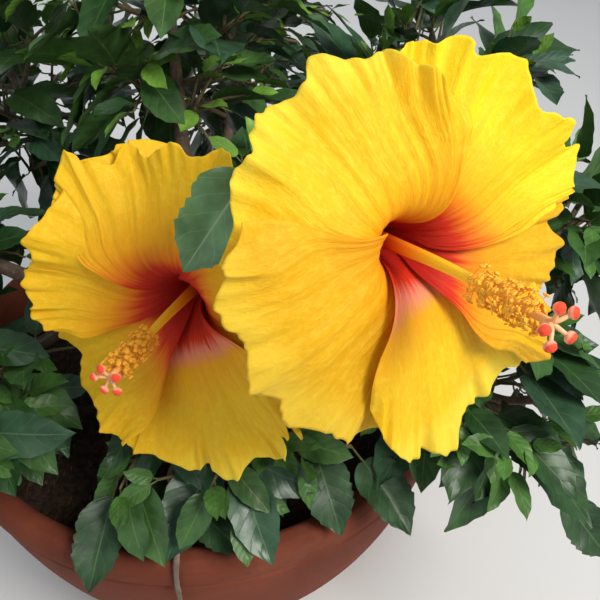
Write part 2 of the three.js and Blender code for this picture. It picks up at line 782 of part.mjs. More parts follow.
// The route of a bough: out of its parent, low at first, then up into its mass
function boughRoute(bough, parent) {
  const mass = massOf(bough);
  const start = parent.curve.getPointAt(bough.at);
  const end = entryOf(mass, start);
  const middle = start.clone().lerp(end, 0.5).addScaledVector(UP, -bough.hang);
  return [start, middle, end];
}

// The main stem of a mass: it carries on from its bough's tip through the middle of the space, or to
// the foot of the calyx on a flowering shoot
function stemRoute(mass, bough) {
  const way = bough.curve.getTangentAt(1);
  const tip = bough.curve.getPointAt(1);
  const start = tip.clone().addScaledVector(way, CLEAR);
  if (mass.flower) {
    const frame = frames.get(mass.flower);
    const back = CORE_BACK + CALYX_LENGTH + 2 * CLEAR;
    const end = frame.foot.clone().addScaledVector(frame.axis, -back);
    const before = end.clone().addScaledVector(frame.axis, -14);
    return [start, start.clone().addScaledVector(way, 12), before, end];
  }
  const middle = point(mass.middle);
  const onward = middle.clone().sub(start).normalize();
  const end = middle
    .clone()
    .addScaledVector(onward, STEM_ONWARD * mass.wide)
    .addScaledVector(UP, STEM_UPWARD * mass.high);
  return [start, start.clone().addScaledVector(way, 10), middle, end];
}

// The ends of a mass's twigs: points spread evenly round its middle by the golden turn, drawn in
// where the space is cut off
function twigTargets(mass) {
  const middle = point(mass.middle);
  const targets = [];
  for (let k = 0; k < mass.twigs; k++) {
    const height = 1 - (2 * (k + 0.5)) / mass.twigs;
    const level = Math.sqrt(1 - height * height);
    const turn = k * GOLDEN_TURN + mass.seed;
    const away = new THREE.Vector3(
      mass.wide * level * Math.cos(turn),
      mass.wide * level * Math.sin(turn),
      mass.high * height,
    );
    let reach = TARGET_REACH;
    while (reach > 0.2 && !inSpace(mass, middle.clone().addScaledVector(away, reach))) reach -= 0.04;
    if (reach > 0.24) targets.push(middle.clone().addScaledVector(away, reach));
  }
  return targets;
}

// A twig from the stem to its target: it leaves the stem a little before the nearest point, and bows
function twigTo(stem, target) {
  let nearest = 0;
  for (let k = 1; k <= 20; k++) {
    const closer =
      stem.curve.getPointAt(k / 20).distanceTo(target) < stem.curve.getPointAt(nearest).distanceTo(target);
    if (closer) nearest = k / 20;
  }
  const from = stem.curve.getPointAt(clamp(nearest - TWIG_BEFORE, 0.14, 0.94));
  const span = from.distanceTo(target);
  const bow = from.clone().lerp(target, 0.55).addScaledVector(UP, -TWIG_SAG * span);
  return curveThrough([from, bow, target]);
}

// Whether each of some points keeps a least distance from every place in a list
const apart = (points, places, least) =>
  points.every((p) => places.every((place) => place.distanceToSquared(p) > least * least));

// Points along a curve, close enough together to stand for a twig in tests
const placesAlong = (curve) => curve.getSpacedPoints(Math.ceil(curve.getLength() / TEST_SPACING));

// One try at a leaf on a twig: it leads out and forward, round the twig by the golden turn, and
// droops a little. Later tries turn further and are shorter.
function leafOnTwig(curve, share, turn, attempt, middle, random) {
  const root = curve.getPointAt(share);
  const forward = curve.getTangentAt(share);
  const across = forward.clone().cross(UP).normalize();
  const over = across.clone().cross(forward);
  const around = turn + attempt * GOLDEN_TURN;
  const aside = spoke(across, over, around);
  const outward = root.clone().sub(middle).normalize();
  const way = forward
    .multiplyScalar(between(0.45, 1.3, share ** 3))
    .add(aside)
    .addScaledVector(outward, 0.5)
    .addScaledVector(UP, -0.15 - 0.65 * random());
  const sunward = new THREE.Vector3(root.x, root.y, 0).normalize();
  const facing = UP.clone().addScaledVector(outward, 0.3).addScaledVector(sunward, 1.1 * random());
  const long = between(LEAF_SHORT, LEAF_LONG, random()) * (1 - 0.06 * attempt);
  return describeLeaf(root, way, facing, long, LEAF_SHAPE * long);
}

// A mass of foliage: a stem, twigs to spread targets, and leaves set round each twig. A leaf that
// would leave the space, or touch a limb, a flower, a twig or another leaf, is left out.
function growMass(mass, bough, limbs) {
  const random = seeded(mass.seed);
  const middle = point(mass.middle);
  const thin = mass.flower ? SHOOT_THIN : STEM_THIN;
  const stem = makeLimb(stemRoute(mass, bough), bough.radiusAt(1), thin, STEM_SIDES, STEM_STEPS);
  const shownLeaves = mass.shown ?? [];
  const leaves = shownLeaves.map((shown) => {
    const root = point(shown.root);
    const way = point(shown.tip).sub(root);
    return describeLeaf(root, way, new THREE.Vector3(0, -0.55, 1), way.length(), shown.width);
  });
  const shownTwigs = shownLeaves.map((shown) => twigTo(stem, point(shown.root)));
  const free = (curve) => curve.getSpacedPoints(4).every((p) => clearOfAll(p, limbs, BOUGH_ROOM));
  const twigs = twigTargets(mass)
    .map((target) => twigTo(stem, target))
    .filter((curve) => curve.getLength() > TWIG_LEAST && free(curve));
  const twigPlaces = [stem.curve, ...shownTwigs, ...twigs].flatMap(placesAlong);
  const leafPlaces = leaves.flatMap(leafSamples);
  const fits = (leaf) => {
    const samples = leafSamples(leaf);
    return (
      samples.every((p) => inSpace(mass, p) && clearOfAll(p, limbs, BOUGH_ROOM) && !beforeFlower(p)) &&
      apart(samples, leafPlaces, LEAF_ROOM) &&
      apart(samples.filter((p) => p.distanceTo(leaf.root) > 0.3 * leaf.length), twigPlaces, TWIG_ROOM)
    );
  };
  for (const curve of twigs) {
    const count = Math.max(3, Math.round((0.85 * curve.getLength()) / LEAF_GAP) + 1);
    for (let k = 0; k < count; k++) {
      const turn = k * GOLDEN_TURN + 7 * random();
      for (let attempt = 0; attempt < LEAF_TRIES; attempt++) {
        const leaf = leafOnTwig(curve, between(0.3, 1, k / (count - 1)), turn, attempt, middle, random);
        if (fits(leaf)) {
          leaves.push(leaf);
          leafPlaces.push(...leafSamples(leaf));
          break;
        }
      }
    }
  }
  const twigBody = (curve) => tube(curve, (u) => between(TWIG_THICK, TWIG_THIN, u), TWIG_SIDES, TWIG_STEPS);
  const pieces = [...[...shownTwigs, ...twigs].map(twigBody), ...leaves.map(makeLeaf)];
  return pieces.reduce((whole, piece) => whole.add(piece), stem.body);
}

const shrub = new THREE.Group();

// The pot and its soil
shrub.add(meshOf("pot", makePot(), COLOURS.terracotta, 0.8));
shrub.add(meshOf("soil", makeSoil(), COLOURS.soil, 0.95));

// The trunk and the boughs, each cut clear of those made before it
const limbs = new Map([["trunk", makeTrunk()]]);
for (const bough of BOUGHS) {
  const route = boughRoute(bough, limbs.get(bough.on));
  const limb = makeLimb(route, bough.thick, bough.thin, BOUGH_SIDES, BOUGH_STEPS);
  for (const earlier of limbs.values()) limb.body = limb.body.subtract(earlier.cutter);
  limb.body = mainPiece(limb.body);
  limbs.set(bough.name, limb);
}
for (const [name, limb] of limbs) {
  limb.beads = beadsAlong(limb);
  shrub.add(meshOf(name, limb.body, COLOURS.bark, 0.85));
}

// The flowers, each with its petals, column and calyx
for (const flower of FLOWERS) {
  const frame = frames.get(flower.name);
  shrub.add(meshOf("petals_" + flower.name, makeCorolla(flower, frame), COLOURS.petal, 0.5));
  shrub.add(meshOf("column_" + flower.name, makeColumn(flower, frame), COLOURS.column, 0.6));
  shrub.add(meshOf("calyx_" + flower.name, makeCalyx(frame), COLOURS.calyx, 0.6));
}

// The masses of foliage, each from the tip of its bough
for (const bough of BOUGHS) {
  const mass = massOf(bough);
  const body = growMass(mass, limbs.get(bough.name), [...limbs.values()]);
  shrub.add(meshOf(mass.name, mainPiece(body), mass.flower ? COLOURS.shoot : COLOURS.leaf, 0.45));
}

export default shrub;
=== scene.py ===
"""A hibiscus shrub with two open flowers, in a round terracotta bowl pot.

The solid model is loaded first and stays as it is. Every surface below is worked out with numpy from
the same sizes and by the same rule of growth. Lengths are in millimetres, and become metres when a
mesh is made. +Z is up, the origin is the centre of the pot's underside, and the flowers face -Y.
"""

import math

import bpy
import numpy as np
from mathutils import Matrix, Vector


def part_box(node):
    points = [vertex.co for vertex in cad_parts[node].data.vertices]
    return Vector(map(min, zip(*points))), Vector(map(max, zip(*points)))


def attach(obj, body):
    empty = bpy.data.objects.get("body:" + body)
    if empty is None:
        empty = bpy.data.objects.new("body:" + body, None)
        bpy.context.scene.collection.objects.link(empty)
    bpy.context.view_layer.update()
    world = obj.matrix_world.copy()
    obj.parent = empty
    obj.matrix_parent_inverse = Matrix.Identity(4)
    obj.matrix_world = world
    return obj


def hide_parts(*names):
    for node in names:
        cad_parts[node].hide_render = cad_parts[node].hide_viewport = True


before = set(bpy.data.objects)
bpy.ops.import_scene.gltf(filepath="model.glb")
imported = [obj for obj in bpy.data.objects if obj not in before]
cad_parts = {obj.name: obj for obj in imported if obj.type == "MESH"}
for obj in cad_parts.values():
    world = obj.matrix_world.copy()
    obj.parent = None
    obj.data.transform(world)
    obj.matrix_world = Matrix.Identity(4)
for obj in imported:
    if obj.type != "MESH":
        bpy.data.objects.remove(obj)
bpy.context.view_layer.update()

METRE = 1000.0
CLEAR = 0.3
ON_AXIS = 0.01
UP = np.array([0.0, 0.0, 1.0])
GOLDEN_TURN = math.pi * (3 - math.sqrt(5))

# The bowl, with its height and widest radius read from the solid pot
_, pot_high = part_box("pot")
POT_HEIGHT = METRE * pot_high.z
COLLAR_RADIUS = METRE * pot_high.x
POT_BASE = 120
POT_BELLY = COLLAR_RADIUS - 2
POT_BULGE = 0.2
POT_WALL = 12
POT_FLOOR = 14
COLLAR_LOW = POT_HEIGHT - 22
GROOVE_DEPTH = 6
GROOVE_LOW = 8
GROOVE_HIGH = 3
COLLAR_EDGE = 1
COLLAR_WIDEST = 6
COLLAR_SHOULDER = 14
RIM_OUTER = COLLAR_RADIUS - 5
RIM_INNER = COLLAR_RADIUS - 18
RIM_EDGE = 4
RIM_DROP = 5
FOOT_BEVEL = 5
FOOT_MIDDLE = 95
FLOOR_BEVEL = 6
FLOOR_MIDDLE = 60
DRAIN_RADIUS = 7
DRAIN_CIRCLE = 62
SOIL_TOP = 205
SOIL_FALL = 5

# The trunk and the boughs. Each bough is (name, parent, the share of the parent's length where it
# leaves, the mass it leads to, thick radius, thin radius, how far its middle hangs)
TRUNK_PATH = [(4, 6, SOIL_TOP + CLEAR), (4, 6, 220), (-1, 8, 248), (-6, 11, 280)]
TRUNK_FOOT = 15
TRUNK_FORK = 11.5
TRUNK_FLARE = 10
FLARE_HEIGHT = 13
FLARE_LOBES = 5
LIMB_TAPER = 0.8
BOUGHS = [
    ("bough_top", "trunk", 0.96, "foliage_top", 8.5, 5, 0),
    ("bough_back", "trunk", 0.82, "foliage_back", 8, 4.6, 16),
    ("bough_left", "trunk", 0.68, "foliage_left", 8.5, 4.8, 20),
    ("bough_right", "trunk", 0.74, "foliage_right", 8.5, 4.8, 20),
    ("bough_front", "trunk", 0.5, "foliage_front", 7, 4.4, 8),
    ("bough_back_left", "bough_left", 0.3, "foliage_back_left", 6.4, 4.4, 6),
    ("bough_back_right", "bough_right", 0.3, "foliage_back_right", 6.4, 4.4, 6),
    ("bough_front_left", "bough_left", 0.5, "foliage_front_left", 5.8, 4.2, 4),
    ("bough_front_right", "bough_right", 0.46, "foliage_front_right", 5.8, 4.2, 4),
    ("flower_bough_right", "bough_right", 0.2, "flower_shoot_right", 5.4, 3.8, 6),
    ("flower_bough_left", "bough_front", 0.3, "flower_shoot_left", 5.2, 3.6, 4),
]

# The flowers: each petal is (turn, length, half width, side, opening, skew, curl, cup, blush), where
# blush is how far the red reaches from the petal's root. Lobes are for some petals, by number: rises
# and dips of the margin as (t, share of the length, width in t)
FLOWERS = {
    "right": {
        "throat": (118, -182, 458),
        "azimuth": -59,
        "elevation": 20,
        "column_tip": (149, -241, 477),
        "open_way": (-33, -207, 161),
        "lap": 4.5,
        "petals": [
            (120, 88, 44, 0.53, 108, -0.25, 18, 1.0, 15),
            (46, 88, 43, 0.69, 81, -0.2, -12, -0.3, 33),
            (-3, 91, 42, 0.78, 90, 0.3, 18, 0.9, 35),
            (-69, 109, 48, 0.54, 94, -0.15, 5, 0.9, 27),
            (-143, 93, 52, 0.58, 86, 0.0, 30, 0.2, 15),
        ],
        "lobes": {1: [(-0.93, 0.05, 0.07), (-0.74, -0.05, 0.05), (0.42, 0.05, 0.05)]},
    },
    "left": {
        "throat": (14, -133, 387),
        "azimuth": -116.5,
        "elevation": 7,
        "column_tip": (-7, -187, 393),
        "open_way": (61, -256, 232),
        "lap": -4.5,
        "petals": [
            (155, 89, 51, 0.66, 68, 0.12, -8, -0.8, 34),
            (98, 91, 53, 0.74, 110, 0.05, -6, -0.9, 34),
            (18, 99, 52, 0.72, 74, 0.2, -14, -0.8, 36),
            (-56, 107, 56, 0.54, 74, 0.15, 4, 0.2, 38),
            (-152, 88, 54, 0.66, 77, -0.1, -4, 1.3, 34),
        ],
        "lobes": {1: [(-0.60, 0.10, 0.10), (-0.34, -0.12, 0.07)]},
    },
}
THROAT_DEPTH = 28
STRIDES = 24
TUBE_RADIUS = 5.2
TUBE_ANGLE = 16
BEND_START = 12
BEND_END = 50
TUBE_LAP = 12
LAP_START = 6
LAP_GROWTH = 24
PETAL_WAVE = 2.8
CORE_BACK = 3
CALYX_LENGTH = 21

# The petals' finer form: how much wider they are over the mouth of the tube, where that starts and
# ends, and how far the lap closes up there
MOUTH_FULLER = 0.34
MOUTH_START = 9
MOUTH_RISE = 12
MOUTH_END = 32
MOUTH_FALL = 30
MOUTH_CLOSER = 0.5
CLOSER_END = 24
CLOSER_FALL = 36

# The masses of foliage: seed, middle, half width, half height, twigs, the flower that the mass
# bears, and the leaves that stand where the plant shows them, as (root, tip, width)
MASSES = {
    "foliage_top": (11, (-8, 62, 448), 108, 98, 11, None, []),
    "foliage_back": (23, (25, 190, 372), 118, 104, 11, None, []),
    "foliage_back_left": (31, (-150, 135, 368), 116, 102, 11, None, []),
    "foliage_back_right": (47, (178, 112, 378), 112, 104, 11, None, []),
    "foliage_left": (59, (-202, -18, 338), 104, 100, 11, None, []),
    "foliage_right": (61, (234, -22, 338), 100, 96, 11, None, []),
    "foliage_front_left": (71, (-128, -118, 300), 82, 66, 9, None, []),
    "foliage_front_right": (
        83,
        (196, -112, 288),
        84,
        70,
        9,
        None,
        [((197, -101, 281), (222, -148, 262), 32), ((236, -143, 238), (270, -180, 212), 36)],
    ),
    "foliage_front": (
        97,
        (20, -112, 262),
        92,
        46,
        9,
        None,
        [
            ((107, -130, 263), (142, -180, 254), 38),
            ((82, -127, 266), (99, -180, 250), 40),
            ((2, -150, 240), (40, -192, 250), 32),
            ((-6, -128, 240), (-23, -178, 250), 32),
            ((-36, -146, 256), (-49, -206, 226), 40),
        ],
    ),
    "flower_shoot_right": (
        101,
        (80, -96, 398),
        78,
        80,
        7,
        "right",
        [((62, -141, 478), (24, -170, 437), 40)],
    ),
    "flower_shoot_left": (109, (12, -66, 346), 64, 56, 6, "left", []),
}

# A thin shoot that hangs over the rim in front, and the leaves at its tip as (root, tip, width)
HANGING_SHOOT = [
    (-3, -147, 262),
    (2, -164, 250),
    (3, -182, 241),
    (2, -194, 228),
    (1, -196, 196),
    (-2, -191, 146),
]
HANGING_LEAVES = [((-2, -191, 147), (-24, -203, 112), 20), ((-2, -191, 150), (20, -204, 122), 19)]

# The space of a mass, and how its stem, twigs and leaves fill it
SPACE_REACH = 1.12
ENTRY_REACH = 0.62
STEM_ONWARD = 0.28
STEM_UPWARD = 0.2
STEM_THIN = 2.2
SHOOT_THIN = 2.9
TEST_SPACING = 6
TARGET_REACH = 0.56
TWIG_LEAST = 12
TWIG_BEFORE = 0.22
TWIG_SAG = 0.07
LEAF_GAP = 19
LEAF_LONG = 94
LEAF_SHORT = 68
LEAF_SHAPE = 0.54
LEAF_WIDEST = 0.46
LEAF_ROOM = 7
POT_ROOM = 7
RIM_ROOM = 5
GROUND_ROOM = 20
TWIG_ROOM = 5.5
LEAF_TRIES = 6
BOUGH_ROOM = 4.5
FLOWER_ROOM = 13
OPEN_RADIUS = 88
OPEN_LENGTH = 330
OPEN_TAPER = 0.62
OPEN_BACK = 6


def between(a, b, share):
    """The value a share of the way from a to b."""
    return a + (b - a) * share


def smooth(x):
    """A step from 0 to 1 with level ends: three times the square less twice the cube."""
    u = np.clip(x, 0, 1)
    return u * u * (3 - 2 * u)


def turns_round(count):
    """Equal turns round a circle, from 0."""
    return 2 * math.pi * np.arange(count) / count


def unit(v):
    """Each vector divided by its own length."""
    return v / np.linalg.norm(v, axis=-1, keepdims=True)


def seeded(seed):
    """A repeatable row of numbers from 0 to 1, each worked out from the one before."""
    state = seed
    while True:
        state = (state * 1664525 + 1013904223) % 4294967296
        yield state / 4294967296


def ripple(x, y, seed, count=7):
    """An uneven surface of about -1 to 1: the mean of plane waves in seeded directions."""
    random = seeded(seed)
    total = 0
    for _ in range(count):
        turn = 2 * math.pi * next(random)
        pace = between(0.6, 1.7, next(random))
        phase = 2 * math.pi * next(random)
        total = total + np.sin(pace * (x * math.cos(turn) + y * math.sin(turn)) + phase)
    return total / math.sqrt(count)


# Meshes


def quads_of(rows, columns, wrap=False):
    """The corners of each quad on a grid of points, row by row; wrap joins the last column to the
    first."""
    i = np.arange(rows - 1)[:, None]
    j = np.arange(columns if wrap else columns - 1)[None, :]
    after = (j + 1) % columns
    corners = [i * columns + j, i * columns + after, (i + 1) * columns + after, (i + 1) * columns + j]
    return np.stack(corners, -1).reshape(-1, 4)


class Bundle:
    """Surfaces that are joined into one piece: points, faces, and a pair of pattern values for
    each point."""

    def __init__(self):
        self.points = []
        self.faces = []
        self.pattern = []
        self.count = 0

    def add(self, points, faces, pattern=None):
        """Adds one surface; its faces are a list of arrays of corner numbers."""
        flat = np.asarray(points, float).reshape(-1, 3)
        if pattern is None:
            pattern = np.zeros((len(flat), 2))
        self.points.append(flat)
        self.pattern.append(np.asarray(pattern, float).reshape(-1, 2))
        self.faces.extend(corners + self.count for corners in faces)
        self.count += len(flat)

    def finish(self, name, material, nodes):
        """Makes the piece, rides it on the plant's body, and hides the solid model's named nodes in
        its place.
        """
        points = np.concatenate(self.points) / METRE
        corners = np.concatenate([f.ravel() for f in self.faces]).astype(np.int32)
        sizes = np.concatenate([np.full(len(f), f.shape[1]) for f in self.faces])
        starts = np.concatenate([[0], np.cumsum(sizes)[:-1]]).astype(np.int32)
        mesh = bpy.data.meshes.new(name)
        mesh.vertices.add(len(points))
        mesh.vertices.foreach_set("co", points.ravel())
        mesh.loops.add(len(corners))
        mesh.loops.foreach_set("vertex_index", corners)
        mesh.polygons.add(len(sizes))
        mesh.polygons.foreach_set("loop_start", starts)
        mesh.update(calc_edges=True)
        layer = mesh.uv_layers.new(name="pattern")
        layer.data.foreach_set("uv", np.concatenate(self.pattern)[corners].ravel())
        mesh.shade_smooth()
        mesh.materials.append(material)
        piece = bpy.data.objects.new(name, mesh)
        bpy.context.scene.collection.objects.link(piece)
        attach(piece, "root")
        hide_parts(*nodes)
        return piece


def repeated(corners, points_each, count):
    """The corners of a surface's faces, again for each of many copies that follow on."""
    shift = points_each * np.arange(count)[:, None, None]
    return (corners[None] + shift).reshape(-1, corners.shape[1])


def turned(profile, turns, lift):
    """A profile of (radius, height) points carried round the vertical axis, then shaped by lift, a
    rule on the grid of points and their turns."""
    radius = np.array([p[0] for p in profile])[:, None]
    height = np.array([p[1] for p in profile])[:, None] + np.zeros((1, turns))
    turn = turns_round(turns)[None, :]
    return lift(np.stack([radius * np.cos(turn), radius * np.sin(turn), height], -1), turn)


def capped(grid, low, high):
    """The points and faces of a round grid of rows, closed by a fan at its first and last row."""
    rows, sides = grid.shape[:2]
    points = np.concatenate([grid.reshape(-1, 3), [low, high]])
    around = np.arange(sides)
    after = (around + 1) % sides
    first = np.stack([np.full(sides, rows * sides), after, around], -1)
    end = (rows - 1) * sides
    last = np.stack([np.full(sides, rows * sides + 1), end + around, end + after], -1)
    return points, [quads_of(rows, sides, True), first, last]


class Curve:
    """A smooth curve through points, with its places measured along its length. Between two points
    it is a cubic whose slopes come from the square roots of the distances to the neighbours."""

    def __init__(self, points):
        p = np.array(points, float)
        ends = [2 * p[0] - p[1], *p, 2 * p[-1] - p[-2]]
        self.points = np.array(ends)
        steps = np.sum(np.diff(self.points, axis=0) ** 2, axis=1) ** 0.25
        self.steps = np.where(steps < 1e-4, 1.0, steps)
        self.shares = np.linspace(0, 1, 201)
        chords = np.linalg.norm(np.diff(self.raw(self.shares), axis=0), axis=1)
        self.lengths = np.concatenate([[0], np.cumsum(chords)])
        self.length = self.lengths[-1]

    def raw(self, t):
        """Points at shares of the curve's own parameter."""
        spans = len(self.points) - 3
        along = np.atleast_1d(t) * spans
        i = np.minimum(np.floor(along).astype(int), spans - 1)
        w = (along - i)[:, None]
        x0, x1, x2, x3 = (self.points[i + k] for k in range(4))
        d0, d1, d2 = (self.steps[i + k][:, None] for k in range(3))
        first = ((x1 - x0) / d0 - (x2 - x0) / (d0 + d1) + (x2 - x1) / d1) * d1
        second = ((x2 - x1) / d1 - (x3 - x1) / (d1 + d2) + (x3 - x2) / d2) * d1
        square = -3 * x1 + 3 * x2 - 2 * first - second
        cube = 2 * x1 - 2 * x2 + first + second
        return x1 + w * (first + w * (square + w * cube))

    def at(self, share):
        """Points at shares of the curve's length."""
        t = np.interp(np.atleast_1d(share) * self.length, self.lengths, self.shares)
        return self.raw(t)

    def one(self, share):
        """The single point at a share of the curve's length."""
        return self.at(share)[0]

    def way(self, share):
        """The direction of the curve at a share of its length."""
        t = np.interp(share * self.length, self.lengths, self.shares)
        ends = self.raw([max(t - 1e-4, 0), min(t + 1e-4, 1)])
        return unit(ends[1] - ends[0])

    def spaced(self, count):
        """Points at equal steps along the length, both ends included."""
        return self.at(np.linspace(0, 1, count + 1))


def tube(path, radii):
    """A closed tube: at each place of a path stands a ring, square to the path, of the given radii.
    Radii is one row for each place and one column for each side."""
    rows, sides = radii.shape
    ways = unit(np.gradient(path, axis=0))
    axis = np.eye(3)[np.argmin(np.abs(path[-1] - path[0]))]
    first = unit(np.cross(ways, axis))
    second = np.cross(ways, first)
    turn = turns_round(sides)[None, :, None]
    spokes = first[:, None] * np.cos(turn) + second[:, None] * np.sin(turn)
    grid = path[:, None] + spokes * radii[:, :, None]
    lift = ways[[0, -1]] * radii[[0, -1]].mean(axis=1)[:, None] * 0.5
    points, faces = capped(grid, path[0] - lift[0], path[-1] + lift[1])
    rings = np.linspace(0, 1, rows)[:, None] + np.zeros((1, sides))
    round_share = np.zeros((rows, 1)) + np.arange(sides)[None, :] / sides
    pattern = np.stack([round_share, rings], -1).reshape(-1, 2)
    return points, faces, np.concatenate([pattern, [[0, 0], [0, 1]]])


def taper(curve, rows, thick, thin, sides):
    """A plain tube along a curve whose radius goes evenly from thick to thin."""
    radii = between(thick, thin, np.linspace(0, 1, rows))[:, None] * np.ones((1, sides))
    return tube(curve.spaced(rows - 1), radii)


# The flowers' surfaces


def flower_frame(flower):
    """The axis out of a flower's face, the two directions across it, and the foot of its tube."""
    azimuth = math.radians(flower["azimuth"])
    elevation = math.radians(flower["elevation"])
    level = math.cos(elevation)
    axis = np.array([level * math.cos(azimuth), level * math.sin(azimuth), math.sin(elevation)])
    across = unit(np.array([1.0, 0, 0]) - axis * axis[0])
    third = np.cross(axis, across)
    return axis, across, third, np.array(flower["throat"]) - THROAT_DEPTH * axis


frames = {name: flower_frame(flower) for name, flower in FLOWERS.items()}


def along(d):
    """The middles of equal strides from the root to each distance d, in a new first axis."""
    middles = (np.arange(STRIDES) + 0.5).reshape((-1,) + (1,) * np.ndim(d))
    return d * middles / STRIDES


def lean(d, opening):
    """A petal's lean from the axis: the tube's angle up to the bend, and smoothly to the opening."""
    start = math.radians(TUBE_ANGLE)
    return start + (opening - start) * smooth((d - BEND_START) / (BEND_END - BEND_START))


def plain_ring(d):
    """The distance from the axis of a petal that opens square, d along it from its root."""
    return TUBE_RADIUS + np.mean(np.sin(lean(along(d), math.pi / 2)), axis=0) * d


def gap_beside(name, k, t):
    """The angle to the next petal on the side of t."""
    turns = np.radians([petal[0] for petal in FLOWERS[name]["petals"]])
    later = (turns[k] - turns[(k + 1) % 5]) % (2 * math.pi)
    earlier = (turns[k - 1] - turns[k]) % (2 * math.pi)
    return np.where(t > 0, later, earlier)


def petal_plan(name, k, s, t, fine=0.0):
    """A petal's plan. In the tube it is a sector of the ring that laps a little over half the gap
    to each neighbour. Further out it is a fan whose half width grows with a sine of t and evenly
    with s. Its margin is an arch with small notches. Gives the distance across, the distance out,
    and the distance from the root. fine adds smaller notches and the lobes, and makes the petal
    fuller over the mouth of the tube."""
    _, length, half, side, _, skew, _, _, _ = FLOWERS[name]["petals"][k]
    angle = t * math.pi / 2
    arch = side + (1 - side) * np.maximum(np.cos(angle), 0) ** 0.8
    notch = 1 + 0.02 * np.sin(5 * math.pi * t) + 0.012 * np.sin(17 * t)
    jag = 0.022 * ripple(7 * t, 1.0, 11 * k + 9) + 0.015 * ripple(21 * t, 2.0, 17 * k + 3)
    jag = jag + 0.009 * ripple(55 * t, 1.0, 5 * k)
    for place, height, wide in FLOWERS[name]["lobes"].get(k, []):
        jag = jag + height * np.exp(-(((t - place) / wide) ** 2))
    y = length * arch * (notch + fine * s**6 * jag) * s
    sector = np.sin(angle) * (gap_beside(name, k, t) / 2 + math.radians(TUBE_LAP)) * plain_ring(y)
    fan = half * np.sin(angle) * (1 + skew * t) * s
    x = between(sector, fan, smooth((y - BEND_START) / (BEND_END - BEND_START)))
    mouth = smooth((y - MOUTH_START) / MOUTH_RISE) * (1 - smooth((y - MOUTH_END) / MOUTH_FALL))
    x = x * (1 + fine * MOUTH_FULLER * mouth)
    return x, y, np.hypot(x, y)


def petal_surface(name, k, s, t, fine=0.0):
    """A petal's middle surface. s runs from root to margin and t across it from -1 to 1. Each ray of
    its fan rises along the tube and then leans outwards by its distance from the root, and each row
    across lies on a circle round the axis, more or less cupped. The opening, curl and cup pass over
    to the neighbour's with the angle round the axis, so that neighbours follow one form, and the lap
    lifts one side over and sinks the other. fine closes the lap in the tube, and adds the ruffle and
    crimp of the margin and the radial pleats."""
    flower = FLOWERS[name]
    axis, across, third, foot = frames[name]
    petals = np.array(flower["petals"], float)
    turn, length = petals[k][:2]
    later, earlier = petals[(k + 1) % 5], petals[k - 1]
    x, y, rho = petal_plan(name, k, s, t, fine)
    share = smooth(np.abs(x) / plain_ring(rho) / gap_beside(name, k, t))

    def blended(column):
        other = np.where(t > 0, later[column], earlier[column])
        return between(petals[k][column], other, share)

    opening, curl, cup = np.radians(blended(4)), np.radians(blended(6)), blended(7)
    curl_start = 0.6 * BEND_END

    def curled(d):
        return lean(d, opening) + curl * np.clip((d - curl_start) / (length - curl_start), 0, 1) ** 2

    leans = curled(along(rho))
    outward = np.mean(np.sin(leans), axis=0)
    radial = TUBE_RADIUS + outward * y
    ring = TUBE_RADIUS + outward * rho
    rise = np.mean(np.cos(leans), axis=0) * rho
    beta = curled(rho)
    bend = np.cos(beta) / ring + (cup / length) * smooth((rho - 0.5 * BEND_END) / (0.6 * length))
    kappa = np.where(np.abs(bend) < 1e-5, 1e-5, bend)
    sideways = np.sin(kappa * x) / kappa
    wave = PETAL_WAVE * smooth((s - 0.25) / 0.75) * s * np.sin(3 * math.pi * t + s)
    closer = 1 - fine * MOUTH_CLOSER * (1 - smooth((rho - CLOSER_END) / CLOSER_FALL))
    lap = flower["lap"] * closer * t * smooth((rho - LAP_START) / LAP_GROWTH)
    ruffle = 2.8 * ripple(9.5 * t, 1.4 * s, 31 * k + 7) + 1.3 * ripple(24 * t, 3 * s, 13 * k + 1)
    ruffle = ruffle * smooth((s - 0.5) / 0.5) ** 1.6
    crimp = ripple(58 * t, 5 * s, 19 * k + 4) * smooth((s - 0.76) / 0.24)
    pleats = 0.4 * ripple(34 * t, 2.6 * s, 7 * k + 2) + 0.17 * ripple(75 * t, 5 * s, 3 * k + 5)
    pleats = pleats * smooth((s - 0.08) / 0.5)
    off = (1 - np.cos(kappa * x)) / kappa + wave + lap + fine * (ruffle + crimp + pleats)
    way = math.radians(turn)
    out = across * math.cos(way) + third * math.sin(way)
    clockwise = across * math.sin(way) - third * math.cos(way)
    return (
        foot
        + out * (radial - np.cos(beta) * off)[..., None]
        + clockwise * sideways[..., None]
        + axis * (rise + np.sin(beta) * off)[..., None]
    )


# The rule of growth, the same as the solid model's


petal_grid = np.meshgrid(np.arange(1, 9) / 8, np.linspace(-1, 1, 11), indexing="ij")
petal_places = np.concatenate(
    [petal_surface(name, k, *petal_grid).reshape(-1, 3) for name in FLOWERS for k in range(5)]
)


def nearest_gap(points, places):
    """The distance from each point to the nearest of some places."""
    away = points[:, None] - places[None]
    return np.sqrt(np.einsum("ijk,ijk->ij", away, away).min(axis=1))


def in_space(name, p):
    """Whether points lie in a mass's own cell between the neighbouring middles, and inside its
    rounded outline."""
    _, middle, wide, high, _, _, _ = MASSES[name]
    offset = p - np.array(middle)
    inside = np.linalg.norm(offset / [wide, wide, high], axis=1) <= SPACE_REACH
    own = np.sum(offset**2, axis=1)
    for other, (_, away, *_) in MASSES.items():
        if other != name:
            slack = 2 * CLEAR * np.linalg.norm(np.subtract(away, middle))
            inside &= own + slack < np.sum((p - np.array(away)) ** 2, axis=1)
    return inside


def clear_of_pot(p):
    """Whether points are above the rim, above the soil inside it, or well outside the bowl."""
    radius = np.hypot(p[:, 0], p[:, 1])
    inside = (radius < RIM_INNER - 8) & (p[:, 2] > SOIL_TOP + POT_ROOM)
    outside = (radius > COLLAR_RADIUS + POT_ROOM) & (p[:, 2] > GROUND_ROOM)
    return (p[:, 2] > POT_HEIGHT + RIM_ROOM) | inside | outside


